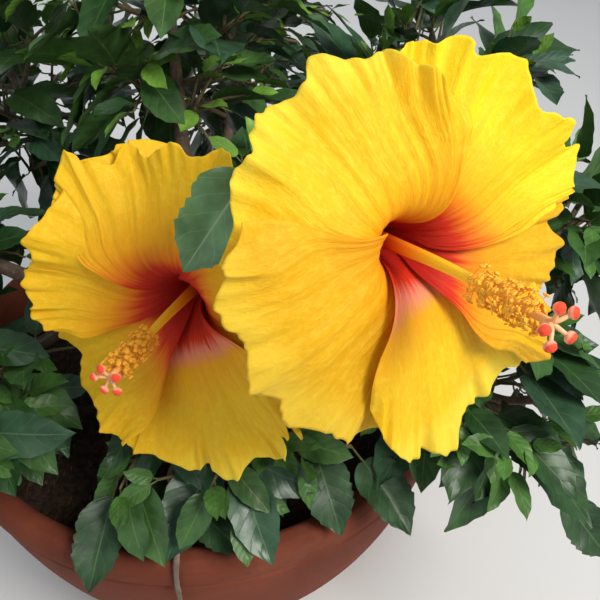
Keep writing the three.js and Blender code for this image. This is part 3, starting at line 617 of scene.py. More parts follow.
def before_flower(p):
    """Whether points lie in the clear way that leads up and forward from either flower's face."""
    hidden = np.zeros(len(p), bool)
    for flower in FLOWERS.values():
        way = unit(np.array(flower["open_way"], float))
        offset = p - np.array(flower["throat"])
        ahead = offset @ way
        aside = np.sqrt(np.maximum(np.sum(offset**2, axis=1) - ahead**2, 0))
        narrow = OPEN_RADIUS * (1 - OPEN_TAPER * ahead / OPEN_LENGTH)
        hidden |= (ahead > -OPEN_BACK) & (ahead < OPEN_LENGTH) & (aside < narrow)
    return hidden


class Limb:
    """A round tapering limb on a curve, with beads along it that stand for it in tests."""

    def __init__(self, points, thick, thin, power=LIMB_TAPER):
        self.curve = Curve(points)
        self.thick = thick
        self.thin = thin
        self.power = power
        count = math.ceil(self.curve.length / TEST_SPACING)
        self.beads = self.curve.spaced(count)
        self.bead_radii = self.radius(np.linspace(0, 1, count + 1))

    def radius(self, share):
        """The radius at a share of the length, from thick to thin."""
        return between(self.thick, self.thin, share**self.power)


def entry_of(name, start):
    """Where a bough enters its mass: on the near side of the mass's space."""
    _, middle, wide, *_ = MASSES[name]
    inward = unit(start - np.array(middle))
    share = ENTRY_REACH
    while not in_space(name, (middle + inward * wide * share)[None])[0] and share > 0.15:
        share -= 0.03
    return middle + inward * wide * share


limbs = {"trunk": Limb(TRUNK_PATH, TRUNK_FOOT, TRUNK_FORK, 1.0)}
for bough, parent, leaves_at, mass, thick, thin, hang in BOUGHS:
    root = limbs[parent].curve.one(leaves_at)
    entry = entry_of(mass, root)
    limbs[bough] = Limb([root, (root + entry) / 2 - UP * hang, entry], thick, thin)
beads = np.concatenate([limb.beads for limb in limbs.values()])
bead_radii = np.concatenate([limb.bead_radii for limb in limbs.values()])


def clear_of_all(p, room):
    """Whether points keep clear of the pot, the petals and the limbs."""
    if not clear_of_pot(p).all():
        return False
    if nearest_gap(p, petal_places).min() < FLOWER_ROOM:
        return False
    away = np.linalg.norm(p[:, None] - beads[None], axis=2) - bead_radii[None]
    return away.min() >= room


def stem_route(name, bough):
    """The main stem of a mass: on from its bough's tip through the middle of the space, or to the
    foot of the calyx on a flowering shoot."""
    _, middle, wide, high, _, flower, _ = MASSES[name]
    way = bough.curve.way(1)
    start = bough.curve.one(1) + way * CLEAR
    if flower:
        axis, _, _, foot = frames[flower]
        end = foot - axis * (CORE_BACK + CALYX_LENGTH + 2 * CLEAR)
        return [start, start + way * 12, end - axis * 14, end]
    onward = unit(middle - start)
    end = middle + onward * STEM_ONWARD * wide + UP * STEM_UPWARD * high
    return [start, start + way * 10, np.array(middle, float), end]


def twig_targets(name):
    """The ends of a mass's twigs: points spread evenly round its middle by the golden turn, drawn in
    where the space is cut off."""
    seed, middle, wide, high, twigs, _, _ = MASSES[name]
    targets = []
    for k in range(twigs):
        height = 1 - 2 * (k + 0.5) / twigs
        level = math.sqrt(1 - height * height)
        turn = k * GOLDEN_TURN + seed
        away = np.array([wide * level * math.cos(turn), wide * level * math.sin(turn), high * height])
        reach = TARGET_REACH
        while reach > 0.2 and not in_space(name, (middle + away * reach)[None])[0]:
            reach -= 0.04
        if reach > 0.24:
            targets.append(middle + away * reach)
    return targets


def twig_to(stem, target):
    """A twig from the stem to its target: it leaves the stem a little before the nearest point, and
    bows."""
    shares = np.arange(21) / 20
    nearest = shares[np.argmin(np.linalg.norm(stem.at(shares) - target, axis=1))]
    start = stem.one(min(max(nearest - TWIG_BEFORE, 0.14), 0.94))
    span = np.linalg.norm(target - start)
    return Curve([start, between(start, target, 0.55) - UP * TWIG_SAG * span, target])


def describe_leaf(root, way, facing, length, width, tint):
    """A leaf's root, its way out, the way it faces, its length, width and tint."""
    along = unit(way)
    face = unit(facing - along * (facing @ along))
    return root, along, face, length, width, tint


def leaf_between(root, tip, width, facing, tint):
    """A leaf that reaches from a root to a tip."""
    root = np.array(root, float)
    way = np.array(tip, float) - root
    return describe_leaf(root, way, np.array(facing, float), np.linalg.norm(way), width, tint)


def leaf_samples(leaf):
    """Points spread over a leaf, for testing what it would touch."""
    root, along, face, length, width, _ = leaf
    side = np.cross(along, face)
    share = np.arange(2, 11) / 10
    half = width / 2 * np.minimum(share / LEAF_WIDEST, (1 - share) / (1 - LEAF_WIDEST))
    spread = half[:, None] * np.array([-1, 0, 1, -0.5, 0.5])
    points = root + along * (length * share)[:, None, None] + side * spread[..., None]
    wide_enough = np.repeat((half > 9)[:, None], 2, axis=1)
    return points[np.concatenate([np.ones((9, 3), bool), wide_enough], axis=1)]


def spoke_off(curve, share, turn):
    """A place on a curve, the way on from there, and a spoke square to it at a turn round it."""
    forward = curve.way(share)
    across = unit(np.cross(forward, UP))
    spoke = across * math.cos(turn) + np.cross(across, forward) * math.sin(turn)
    return curve.one(share), forward, spoke


def leaf_on_twig(curve, share, turn, attempt, middle, random, sizes, tint):
    """One try at a leaf on a twig: it leads out and forward, round the twig by the golden turn, and
    droops a little. Later tries turn further and are shorter."""
    root, forward, spoke = spoke_off(curve, share, turn + attempt * GOLDEN_TURN)
    outward = unit(root - middle)
    way = forward * between(0.45, 1.3, share**3) + spoke + outward * 0.5
    way = way + UP * (-0.15 - 0.65 * next(random))
    sunward = unit(np.array([root[0], root[1], 0.0]))
    facing = UP + outward * 0.3 + sunward * 1.1 * next(random)
    long = between(sizes[0], sizes[1], next(random)) * (1 - 0.06 * attempt)
    return describe_leaf(root, way, facing, long, LEAF_SHAPE * long, tint)


# The tints of the leaves, by number in LEAF_TINTS: the first three are the plain greens
PLAIN_TINTS = 3
FRESH_TINT = 3
YOUNG_TINT = 4
SUNLIT_FRONT_TINT = 5
HANGING_TINT = 6
SHOWN_FACING = (0, -0.55, 1)
MAIN_LEAF = (LEAF_SHORT, LEAF_LONG)

# The finer growth that the solids leave out: side shoots off each twig, with smaller leaves, and a
# tuft at each tip. A pair of rooms is the least gap to another leaf and to a twig
SIDE_SHOOTS = 4
SHOOT_PLACES = (0.42, 0.97)
SHOOT_LENGTH = (20, 38)
SHOOT_BOW = 1.5
SHOOT_ROOM = 2
SHOOT_LEAVES = (0.4, 0.75, 1.0)
FRESH_HEIGHT = 330
YOUNG_HEIGHT = 400
FINE_LEAF = (44, 74)
FINE_TRIES = 4
FINE_ROOMS = (3.2, 2.0)
TIP_LEAF = (20, 34)
TIP_LEAVES = 2
TIP_TRIES = 2
TIP_TURN = 2.6
TIP_ROOMS = (1.2, 0.5)


def grow_mass(name, stem):
    """A mass of foliage: twigs to spread targets with leaves set round each, then side shoots with
    smaller leaves, and a tuft of young ones on each tip. A leaf that would leave the space, or touch
    a limb, a flower, a twig or another leaf, is left out."""
    seed, middle, _, _, _, flower, shown_leaves = MASSES[name]
    random = seeded(seed)
    middle = np.array(middle, float)
    # A shown leaf by a flower takes the front tint, whose paler green is painted sunlight and painted
    # sky sheen.
    shown_tint = SUNLIT_FRONT_TINT if flower else HANGING_TINT
    leaves = [leaf_between(*shown, SHOWN_FACING, shown_tint) for shown in shown_leaves]
    shown_twigs = [twig_to(stem, leaf[0]) for leaf in leaves]
    twigs = []
    for target in twig_targets(name):
        curve = twig_to(stem, target)
        if curve.length > TWIG_LEAST and clear_of_all(curve.spaced(4), BOUGH_ROOM):
            twigs.append(curve)
    curves = [stem, *shown_twigs, *twigs]
    twig_places = np.concatenate(
        [curve.spaced(math.ceil(curve.length / TEST_SPACING)) for curve in curves]
    )
    leaf_places = [leaf_samples(leaf) for leaf in leaves] or [np.full((1, 3), 1e6)]

    def fits(leaf, leaf_room, twig_room):
        samples = leaf_samples(leaf)
        if not in_space(name, samples).all() or before_flower(samples).any():
            return False
        if not clear_of_all(samples, BOUGH_ROOM):
            return False
        if nearest_gap(samples, np.concatenate(leaf_places)).min() <= leaf_room:
            return False
        far = samples[np.linalg.norm(samples - leaf[0], axis=1) > 0.3 * leaf[3]]
        return nearest_gap(far, twig_places).min() > twig_room

    def place(curve, share, turn, sizes, tries, rooms, tint):
        for attempt in range(tries):
            leaf = leaf_on_twig(curve, share, turn, attempt, middle, random, sizes, tint)
            if fits(leaf, *rooms):
                leaves.append(leaf)
                leaf_places.append(leaf_samples(leaf))
                return

    for number, curve in enumerate(twigs):
        count = max(3, math.floor(0.85 * curve.length / LEAF_GAP + 0.5) + 1)
        for k in range(count):
            turn = k * GOLDEN_TURN + 7 * next(random)
            share = between(0.3, 1, k / (count - 1))
            tint = (seed + number) % PLAIN_TINTS
            place(curve, share, turn, MAIN_LEAF, LEAF_TRIES, (LEAF_ROOM, TWIG_ROOM), tint)

    shoots = []
    for number, curve in enumerate(twigs):
        for k in range(SIDE_SHOOTS):
            share = between(*SHOOT_PLACES, k / (SIDE_SHOOTS - 1))
            turn = k * GOLDEN_TURN + 7 * next(random)
            start, forward, spoke = spoke_off(curve, share, turn)
            way = unit(forward * 0.7 + spoke + UP * 0.35)
            end = start + way * between(*SHOOT_LENGTH, next(random))
            shoot = Curve([start, (start + end) / 2 + UP * SHOOT_BOW, end])
            places = shoot.spaced(4)[1:]
            if before_flower(places).any() or not in_space(name, places).all():
                continue
            if not clear_of_all(places, SHOOT_ROOM):
                continue
            shoots.append(shoot)
            for n, leaf_share in enumerate(SHOOT_LEAVES):
                lean = turn + n * GOLDEN_TURN + 3 * next(random)
                tints = PLAIN_TINTS + 1 if end[2] > FRESH_HEIGHT else PLAIN_TINTS
                tint = (seed + number + k) % tints
                place(shoot, leaf_share, lean, FINE_LEAF, FINE_TRIES, FINE_ROOMS, tint)
    for curve in twigs + shoots:
        tint = YOUNG_TINT if curve.one(1.0)[2] > YOUNG_HEIGHT else FRESH_TINT
        for k in range(TIP_LEAVES):
            turn = k * TIP_TURN + 6 * next(random)
            place(curve, 1.0, turn, TIP_LEAF, TIP_TRIES, TIP_ROOMS, tint)
    return leaves, curves[1:], shoots


# Materials


def new_material(name, roughness, **sockets):
    """A plain shader of the given roughness, with other sockets set by name, and its node tree."""
    made = bpy.data.materials.new(name)
    made.use_nodes = True
    shader = made.node_tree.nodes["Principled BSDF"]
    shader.inputs["Roughness"].default_value = roughness
    for socket, value in sockets.items():
        shader.inputs[socket.replace("_", " ")].default_value = value
    return made, made.node_tree, shader


def node(tree, kind, sockets=None, **settings):
    """A new node with some of its settings, and its sockets set or linked."""
    made = tree.nodes.new(kind)
    for setting, value in settings.items():
        setattr(made, setting, value)
    for socket, value in (sockets or {}).items():
        if isinstance(value, bpy.types.NodeSocket):
            tree.links.new(value, made.inputs[socket])
        else:
            made.inputs[socket].default_value = value
    return made


def ramp(tree, value, stops):
    """A row of colours at shares from 0 to 1, read at a value."""
    made = node(tree, "ShaderNodeValToRGB", {"Fac": value})
    elements = made.color_ramp.elements
    for k, (share, colour) in enumerate(stops):
        element = elements[k] if k < 2 else elements.new(share)
        element.position = share
        element.color = (*colour, 1)
    return made.outputs["Color"]


def mixed(tree, share, first, second, mode="MIX"):
    """Two colours mixed by a share."""
    made = node(tree, "ShaderNodeMix", data_type="RGBA", blend_type=mode)
    for index, value in ((0, share), (6, first), (7, second)):
        if isinstance(value, bpy.types.NodeSocket):
            tree.links.new(value, made.inputs[index])
        elif index == 0:
            made.inputs[index].default_value = value
        else:
            made.inputs[index].default_value = (*value, 1)
    return made.outputs[2]


def maths(tree, operation, first, second=0.0):
    """One sum on numbers or sockets."""
    return node(tree, "ShaderNodeMath", {0: first, 1: second}, operation=operation).outputs[0]


def mask(tree, value, start, end, last=1.0, first=0.0):
    """A grey that goes from first to last while a value goes from start to end."""
    return ramp(tree, value, [(start, (first, first, first)), (end, (last, last, last))])


def swing(tree, pattern, size):
    """A pattern's distance from its middle of a half, times a size."""
    return maths(tree, "MULTIPLY", maths(tree, "SUBTRACT", pattern, 0.5), size)


def shade(first, second, share):
    """A colour a share of the way from the first to the second, or past it."""
    return tuple(between(a, b, share) for a, b in zip(first, second))


def noise(tree, place, scale, detail=3.0, roughness=0.55, distortion=0.0):
    """A soft random pattern read at a place, with one scale, or one for each axis."""
    if isinstance(scale, tuple):
        place = node(tree, "ShaderNodeMapping", {"Vector": place, "Scale": scale}).outputs["Vector"]
        scale = 1.0
    sockets = {"Vector": place, "Scale": scale, "Detail": detail, "Roughness": roughness}
    sockets["Distortion"] = distortion
    return node(tree, "ShaderNodeTexNoise", sockets).outputs["Fac"]


def object_place(tree):
    """Where a point is on the object."""
    return node(tree, "ShaderNodeTexCoord").outputs["Object"]


def pattern_place(tree):
    """A piece's own pair of pattern values, as a vector and as two numbers."""
    vector = node(tree, "ShaderNodeUVMap", uv_map="pattern").outputs["UV"]
    split = node(tree, "ShaderNodeSeparateXYZ", {"Vector": vector})
    return vector, split.outputs["X"], split.outputs["Y"]


def finish_surface(tree, shader, colour, height, strength, depth):
    """Links a shader's colour, and its relief from a height pattern; the depth is in millimetres."""
    tree.links.new(colour, shader.inputs["Base Color"])
    sockets = {"Height": height, "Strength": strength, "Distance": depth / METRE}
    relief = node(tree, "ShaderNodeBump", sockets)
    tree.links.new(relief.outputs["Normal"], shader.inputs["Normal"])


# Petal colours; each yellow is the petal's middle, its outer part and its edge
# The throat's deep red and red are its own colours, made lighter than they are: painted light,
# standing in for the light that shines through the petals into the shaded throat. The column's root
# takes the same deep red.
DEEP_RED = (0.44, 0.014, 0.006)
RED = (0.62, 0.030, 0.006)
ORANGE = (0.82, 0.19, 0.006)
PINK = (0.80, 0.22, 0.14)
VEIN_SHADE = (0.80, 0.66, 0.45)
LEMON = ((0.90, 0.36, 0.004), (0.91, 0.49, 0.006), (0.95, 0.65, 0.040))
# A brighter copy of the lemon: painted light, on the petal of the right flower that faces the light.
SUNLIT_LEMON = ((0.94, 0.43, 0.005), (0.97, 0.65, 0.008), (0.98, 0.75, 0.045))
# A deeper, more orange copy of the lemon: painted shade, on the two petals of the right flower that
# their neighbours shade and shadow.
SHADED_AMBER = ((0.80, 0.31, 0.003), (0.77, 0.38, 0.005), (0.86, 0.52, 0.032))
# A deeper golden copy of the yellows: painted shade, over every petal of the left flower, which lies
# in shade.
SHADED_GOLD = ((0.88, 0.36, 0.004), (0.89, 0.48, 0.008), (0.94, 0.62, 0.035))

# Colours along the parts of the column and the calyx, as (share of the length, colour)
# The column's red root and yellow middle are its own colours, but its palest yellow, from 0.46 to
# 0.62 of the length, is partly a painted highlight.
COLUMN_COLOURS_AND_HIGHLIGHT = [
    (0.0, DEEP_RED),
    (0.14, (0.55, 0.05, 0.006)),
    (0.28, (0.88, 0.26, 0.01)),
    (0.46, (0.97, 0.56, 0.018)),
    (0.62, (0.98, 0.62, 0.03)),
    (0.88, (0.93, 0.46, 0.04)),
    (1.0, (0.93, 0.46, 0.16)),
]
THREAD_COLOURS = [(0.0, (0.90, 0.42, 0.04)), (1.0, (0.92, 0.60, 0.08))]
ANTHER_COLOURS = [(0.0, (0.96, 0.47, 0.03)), (1.0, (0.97, 0.52, 0.04))]
ANTHER_SPECKLE = (0.70, 0.22, 0.015)
STYLE_COLOURS = [(0.0, (0.88, 0.42, 0.18)), (1.0, (0.88, 0.50, 0.26))]
PAD_COLOURS = [
    (0.0, (0.84, 0.05, 0.012)),
    (0.36, (0.86, 0.075, 0.02)),
    (0.5, (0.92, 0.40, 0.26)),
    (1.0, (0.88, 0.5, 0.36)),
]
CALYX_COLOURS = [(0.0, (0.13, 0.22, 0.04)), (1.0, (0.26, 0.34, 0.07))]

# The tints of the leaves: the piece, the blade's colour, the veins' colour and the roughness
LEAF_TINTS = [
    ("leaves_deep", (0.022, 0.066, 0.018), (0.10, 0.17, 0.05), 0.40),
    ("leaves_green", (0.040, 0.105, 0.024), (0.14, 0.22, 0.06), 0.42),
    ("leaves_bluish", (0.034, 0.085, 0.042), (0.12, 0.19, 0.09), 0.34),
    ("leaves_fresh", (0.058, 0.150, 0.026), (0.16, 0.26, 0.06), 0.44),
    ("leaves_young", (0.125, 0.265, 0.032), (0.25, 0.37, 0.08), 0.46),
    # The front tint, for the leaf before the left flower, is paler and brighter than its own green:
    # painted sunlight and painted sky sheen.
    ("leaves_front_sunlit", (0.125, 0.260, 0.100), (0.40, 0.54, 0.30), 0.30),
    ("leaves_hanging", (0.022, 0.060, 0.020), (0.10, 0.17, 0.06), 0.46),
]
VEIN_PAIRS = 5.5
VEIN_SLANT = 0.55
VEIN_WIDTH = 0.035
MIDRIB_WIDTH = 0.016

# Bark, stalk, clay and soil colours, the darker or main one first
OLD_BARK = ((0.115, 0.07, 0.045), (0.30, 0.225, 0.165))
YOUNG_BARK = ((0.10, 0.085, 0.03), (0.22, 0.15, 0.08))
STALK_SKIN = ((0.10, 0.12, 0.03), (0.20, 0.17, 0.06))
CLAY = ((0.125, 0.029, 0.014), (0.200, 0.048, 0.023))
CLAY_BLOOM = (0.42, 0.25, 0.17)
CLAY_SPECK = (0.10, 0.035, 0.022)
SOIL = ((0.012, 0.007, 0.004), (0.055, 0.032, 0.02))
SOIL_FIBRE = (0.20, 0.12, 0.07)


def petal_material(name, yellows, halo=ORANGE):
    """Petal colour by distance from the throat: deep red, red, a halo, then the yellows and a pale
    edge, with the borders drawn out into streaks along fine radial veins, and a painted highlight, a
    paler yellow, on the ridges of the crinkled tissue towards the margin."""
    made, tree, shader = new_material(
        name, 0.62, Subsurface_Weight=0.2, Subsurface_Scale=0.004, Specular_IOR_Level=0.22
    )
    shader.inputs["Subsurface Radius"].default_value = (1.0, 0.55, 0.08)
    inner, outer, edge = yellows
    vector, _, along = pattern_place(tree)
    streaks = noise(tree, vector, (34, 2.2, 1), 4.0, 0.6)
    veins = noise(tree, vector, (95, 3.5, 1), 3.0, 0.7)
    patches = noise(tree, vector, (5, 2.5, 1), 2.0)
    crepe = noise(tree, vector, (46, 20, 1), 4.0, 0.65, 0.4)
    reach = maths(tree, "ADD", along, swing(tree, streaks, 0.12))
    reach = maths(tree, "ADD", reach, swing(tree, patches, 0.09))
    stops = [
        (0.0, DEEP_RED),
        (1.0, edge),
        (0.20, DEEP_RED),
        (0.28, RED),
        (0.34, halo),
        (0.42, inner),
        (0.66, outer),
        (0.88, outer),
    ]
    colour = ramp(tree, reach, stops)
    lines = maths(tree, "MULTIPLY", mask(tree, veins, 0.36, 0.62, 0.0, 1.0), 0.24)
    colour = mixed(tree, lines, colour, mixed(tree, 1.0, colour, VEIN_SHADE, "MULTIPLY"))
    # Painted highlight: the ridges of the crinkled tissue towards the margin are mixed with a paler
    # yellow.
    highlight_reach = mask(tree, along, 0.38, 0.62, 0.34)
    ridge_highlight = maths(tree, "MULTIPLY", mask(tree, crepe, 0.46, 0.68), highlight_reach)
    colour = mixed(tree, ridge_highlight, colour, shade(outer, edge, 1.5))
    height = maths(tree, "ADD", maths(tree, "MULTIPLY", veins, 0.6), crepe)
    finish_surface(tree, shader, colour, height, 0.5, 1.1)
    return made


def along_material(name, roughness, stops, subsurface=0.0, speckle=None):
    """Colour by the share of the way along a piece, with speckles of another colour."""
    made, tree, shader = new_material(
        name, roughness, Subsurface_Weight=subsurface, Subsurface_Scale=0.002
    )
    _, _, along = pattern_place(tree)
    colour = ramp(tree, along, stops)
    spots = noise(tree, object_place(tree), 900, 2.0)
    if speckle:
        colour = mixed(tree, mask(tree, spots, 0.55, 0.68), colour, speckle)
    finish_surface(tree, shader, colour, spots, 0.35, 0.3)
    return made


def leaf_material(name, colour, vein, roughness):
    """A glossy blade: paler veins in a herringbone off the midrib, with the tissue raised between
    them, and a soft mottle."""
    made, tree, shader = new_material(name, roughness, Specular_IOR_Level=0.38)
    _, across, along = pattern_place(tree)
    place = object_place(tree)
    out = maths(tree, "ABSOLUTE", maths(tree, "SUBTRACT", across, 0.5))
    slanted = maths(tree, "SUBTRACT", along, maths(tree, "MULTIPLY", out, VEIN_SLANT))
    saw = maths(tree, "PINGPONG", maths(tree, "MULTIPLY", slanted, VEIN_PAIRS), 0.5)
    side_veins = maths(tree, "MULTIPLY", maths(tree, "LESS_THAN", saw, VEIN_WIDTH), 0.35)
    lines = maths(tree, "MAXIMUM", side_veins, maths(tree, "LESS_THAN", out, MIDRIB_WIDTH))
    deep = tuple(0.62 * c for c in colour)
    bright = tuple(min(1.35 * c, 1) for c in colour)
    tissue = ramp(tree, noise(tree, place, 70), [(0.3, deep), (0.7, bright)])
    blade = mixed(tree, maths(tree, "MULTIPLY", lines, 0.55), tissue, vein)
    grain = maths(tree, "MULTIPLY", noise(tree, place, 180), 0.5)
    height = maths(tree, "ADD", maths(tree, "POWER", saw, 0.5), grain)
    finish_surface(tree, shader, blade, height, 0.3, 1.0)
    return made


def bark_material(name, colours, roughness):
    """Bark: long streaks, pale patches and small corky spots."""
    made, tree, shader = new_material(name, roughness)
    dark, pale = colours
    place = object_place(tree)
    vector, _, _ = pattern_place(tree)
    streaks = noise(tree, vector, (9, 26, 1), 4.0, 0.65)
    patches = noise(tree, place, 55, 4.0, 0.6)
    spots = node(tree, "ShaderNodeTexVoronoi", {"Vector": place, "Scale": 210.0}).outputs["Distance"]
    body = ramp(tree, patches, [(0.35, dark), (0.62, shade(dark, pale, 0.45))])
    body = mixed(tree, mask(tree, streaks, 0.5, 0.66, 0.55), body, pale)
    body = mixed(tree, mask(tree, spots, 0.10, 0.2, 0.0, 0.8), body, pale)
    height = maths(tree, "SUBTRACT", maths(tree, "ADD", streaks, patches), spots)
    finish_surface(tree, shader, body, height, 0.6, 1.0)
    return made


def clay_material():
    """Fired clay: red-brown, with paler dry bloom in patches, dark specks and a fine sandy grain."""
    made, tree, shader = new_material("fired_clay", 0.85, Specular_IOR_Level=0.2)
    place = object_place(tree)
    cloud = noise(tree, place, 9, 5.0, 0.6, 0.6)
    bloom = noise(tree, place, (7, 7, 15), 6.0, 0.7)
    specks = noise(tree, place, 160, 2.0)
    grain = noise(tree, place, 420, 3.0, 0.6)
    body = ramp(tree, cloud, [(0.3, CLAY[0]), (0.7, CLAY[1])])
    body = mixed(tree, mask(tree, bloom, 0.55, 0.8, 0.17), body, CLAY_BLOOM)
    body = mixed(tree, mask(tree, specks, 0.66, 0.72, 0.5), body, CLAY_SPECK)
    sockets = {"Vector": place, "Scale": 95.0, "Distortion": 1.2, "Detail": 2.0}
    rings = node(tree, "ShaderNodeTexWave", sockets, bands_direction="Z").outputs["Fac"]
    height = maths(tree, "ADD", grain, maths(tree, "MULTIPLY", rings, 0.35))
    finish_surface(tree, shader, body, height, 0.4, 0.6)
    return made


def soil_material():
    """Damp potting soil: dark crumbs with paler fibres."""
    made, tree, shader = new_material("potting_soil", 0.95, Specular_IOR_Level=0.2)
    place = object_place(tree)
    crumbs = noise(tree, place, 230, 5.0, 0.7)
    fibres = noise(tree, place, (600, 90, 300))
    body = ramp(tree, crumbs, [(0.35, SOIL[0]), (0.65, SOIL[1])])
    body = mixed(tree, mask(tree, fibres, 0.64, 0.7, 0.6), body, SOIL_FIBRE)
    finish_surface(tree, shader, body, crumbs, 0.8, 2.0)
    return made


# The pot: the same lathe-turned bowl, with rounded edges and faint throwing rings. Its wall is out of
# round by two swells and by three, and set back by the sum of both
POT_TURNS = 160
EDGE_ROUND = 3.0
EDGE_STEPS = 4
RING_HEIGHT = 0.11
RING_PACE = 1.05
RING_WANDER = 0.8
OUT_OF_ROUND = (0.5, 0.3)
WALL_BACK = 0.8
WALL_FADE = 30
DRAIN_HOLES = 3
DRILL_PAST = 6
DRILL_SIDES = 28

# The soil's surface: the level middle, the rings and turns of its mesh, and its relief
SOIL_SIDE = (36, 84, 134, 182)
SOIL_MIDDLE = 60
SOIL_RINGS = 90
SOIL_TURNS = 220
SWELL_HEIGHT = 1.4
CRUMB_HEIGHT = 1.3
GRIT_HEIGHT = 0.7
LEVEL_AT_TRUNK = 22


def bowl_radius(z):
    """The bowl's outer radius at a height: a straight taper with a rounded belly."""
    u = np.clip(z / COLLAR_LOW, 0, 1)
    return POT_BASE + (POT_BELLY - POT_BASE) * (u + POT_BULGE * np.sin(math.pi * u))


def rounded(points, radius):
    """An outline with each inner corner of some points replaced by a curve: at a corner the two
    points a radius away are joined by a quadratic curve that the corner pulls."""
    p = np.array(points, float)
    share = np.linspace(0, 1, EDGE_STEPS)[:, None]
    outline = [p[:1]]
    for before, corner, after in zip(p[:-2], p[1:-1], p[2:]):
        back, on = before - corner, after - corner
        near = corner + back * min(radius / np.linalg.norm(back), 0.45)
        far = corner + on * min(radius / np.linalg.norm(on), 0.45)
        outline.append((1 - share) ** 2 * near + 2 * share * (1 - share) * corner + share**2 * far)
    outline.append(p[-1:])
    return np.concatenate(outline)


def build_pot():
    """The bowl's outline from the underside's middle, up the outside, over the rim and down the
    inside, carried round and made a little uneven, and the drills for its drain holes."""
    outside = [(bowl_radius(z), z) for z in np.linspace(16, COLLAR_LOW - 12, 22)]
    inside = [(bowl_radius(z) - POT_WALL, z) for z in np.linspace(COLLAR_LOW - 20, 30, 12)]
    foot = [(ON_AXIS, 0), (FOOT_MIDDLE, 0), (POT_BASE - FOOT_BEVEL, 0), (POT_BASE, FOOT_BEVEL)]
    collar = [
        (bowl_radius(COLLAR_LOW - GROOVE_LOW), COLLAR_LOW - GROOVE_LOW),
        (COLLAR_RADIUS - GROOVE_DEPTH, COLLAR_LOW - GROOVE_HIGH),
        (COLLAR_RADIUS - COLLAR_EDGE, COLLAR_LOW),
        (COLLAR_RADIUS, COLLAR_LOW + COLLAR_WIDEST),
        (COLLAR_RADIUS - COLLAR_EDGE, COLLAR_LOW + COLLAR_SHOULDER),
        (RIM_OUTER, POT_HEIGHT - 0.2),
        (RIM_INNER + RIM_EDGE, POT_HEIGHT),
        (RIM_INNER, POT_HEIGHT - RIM_DROP),
        (RIM_INNER - 1, COLLAR_LOW),
    ]
    corner = bowl_radius(POT_FLOOR) - POT_WALL - FLOOR_BEVEL
    floor = [(corner, POT_FLOOR), (FLOOR_MIDDLE, POT_FLOOR), (ON_AXIS, POT_FLOOR)]
    outline = rounded(foot + outside + collar + inside + floor, EDGE_ROUND)

    def lift(grid, turn):
        height = grid[..., 2]
        ring = RING_HEIGHT * np.sin(height * RING_PACE + RING_WANDER * np.sin(turn))
        ring = ring * smooth((height - 10) / 10)
        twice, thrice = OUT_OF_ROUND
        uneven = twice * np.sin(2 * turn + 0.6) + thrice * np.sin(3 * turn + height / 70)
        fade = smooth(height / WALL_FADE)
        change = ring + uneven * fade - WALL_BACK * fade
        grid[..., :2] *= (1 + change / COLLAR_RADIUS)[..., None]
        return grid

    grid = turned(outline, POT_TURNS, lift)
    points, faces = capped(grid, (0, 0, 0), (0, 0, POT_FLOOR))
    bundle = Bundle()
    bundle.add(points, [f[:, ::-1] for f in faces])
    pot = bundle.finish("pot_clay", clay_material(), ["pot"])
    drill = Bundle()
    depths = np.linspace(-DRILL_PAST, POT_FLOOR + DRILL_PAST, 3)[:, None]
    for turn in turns_round(DRAIN_HOLES) + math.pi / 2:
        middle = np.array([DRAIN_CIRCLE * math.cos(turn), DRAIN_CIRCLE * math.sin(turn), 0])
        points, faces, _ = tube(middle + UP * depths, np.full((3, DRILL_SIDES), float(DRAIN_RADIUS)))
        drill.add(points, faces)
    return pot, drill


def drill_pot(pot, drill):
    """Cuts the drain holes with a Boolean, applied to the mesh."""
    mesh = bpy.data.meshes.new("drill")
    faces = [corners.tolist() for face_array in drill.faces for corners in face_array]
    mesh.from_pydata(np.concatenate(drill.points) / METRE, [], faces)
    cutter = bpy.data.objects.new("drill", mesh)
    bpy.context.scene.collection.objects.link(cutter)
    cut = pot.modifiers.new("drain", "BOOLEAN")
    cut.operation = "DIFFERENCE"
    cut.object = cutter
    graph = bpy.context.evaluated_depsgraph_get()
    made = bpy.data.meshes.new_from_object(pot.evaluated_get(graph))
    pot.modifiers.clear()
    pot.data = made
    bpy.data.objects.remove(cutter)


def build_soil():
    """The soil: it fills the bowl, and its top is uneven and crumbly. The height is a slow swell and
    two finer ripples, level round the trunk."""
    side = [(bowl_radius(z) - POT_WALL - CLEAR, z) for z in SOIL_SIDE]
    base = bowl_radius(POT_FLOOR) - POT_WALL - FLOOR_BEVEL - CLEAR
    low = POT_FLOOR + CLEAR
    rings = [(r, SOIL_TOP) for r in np.linspace(RIM_INNER - 1.5, 1.5, SOIL_RINGS)]
    outline = [(ON_AXIS, low), (base, low), *side, *rings]

    def lift(grid, turn):
        x, y = grid[..., 0], grid[..., 1]
        radius = np.hypot(x, y)
        top = grid[..., 2] > SOIL_TOP - 1
        fall = SOIL_FALL * smooth((radius - SOIL_MIDDLE) / (RIM_INNER - SOIL_MIDDLE))
        crumbs = CRUMB_HEIGHT * ripple(x / 5, y / 5, 3, 9)
        crumbs = crumbs + GRIT_HEIGHT * ripple(x / 2.1, y / 2.1, 8, 9)
        swell = SWELL_HEIGHT * ripple(x / 22, y / 22, 5)
        relief = (crumbs + swell - 1) * smooth((radius - LEVEL_AT_TRUNK) / 20)
        grid[..., 2] += np.where(top, relief - fall, 0)
        return grid

    grid = turned(outline, SOIL_TURNS, lift)
    points, faces = capped(grid, (0, 0, low), (0, 0, SOIL_TOP))
    bundle = Bundle()
    bundle.add(points, [f[:, ::-1] for f in faces])
    bundle.finish("soil_bed", soil_material(), ["soil"])


# Limbs with the bark's relief, whose parts are shares of the radius
FURROWS = 0.035
BARK_GRAIN = 0.02
KNOTS = 0.13
KNOT_GAPS = (13, 24)
COLLAR_SWELL = 2.6
COLLAR_FADE = 6
HANGING_FROM = 0.9
HANGING_RADII = (2.1, 1.3)
HANGING_ROWS = 60
HANGING_SIDES = 9
HANGING_KNOTS = 7


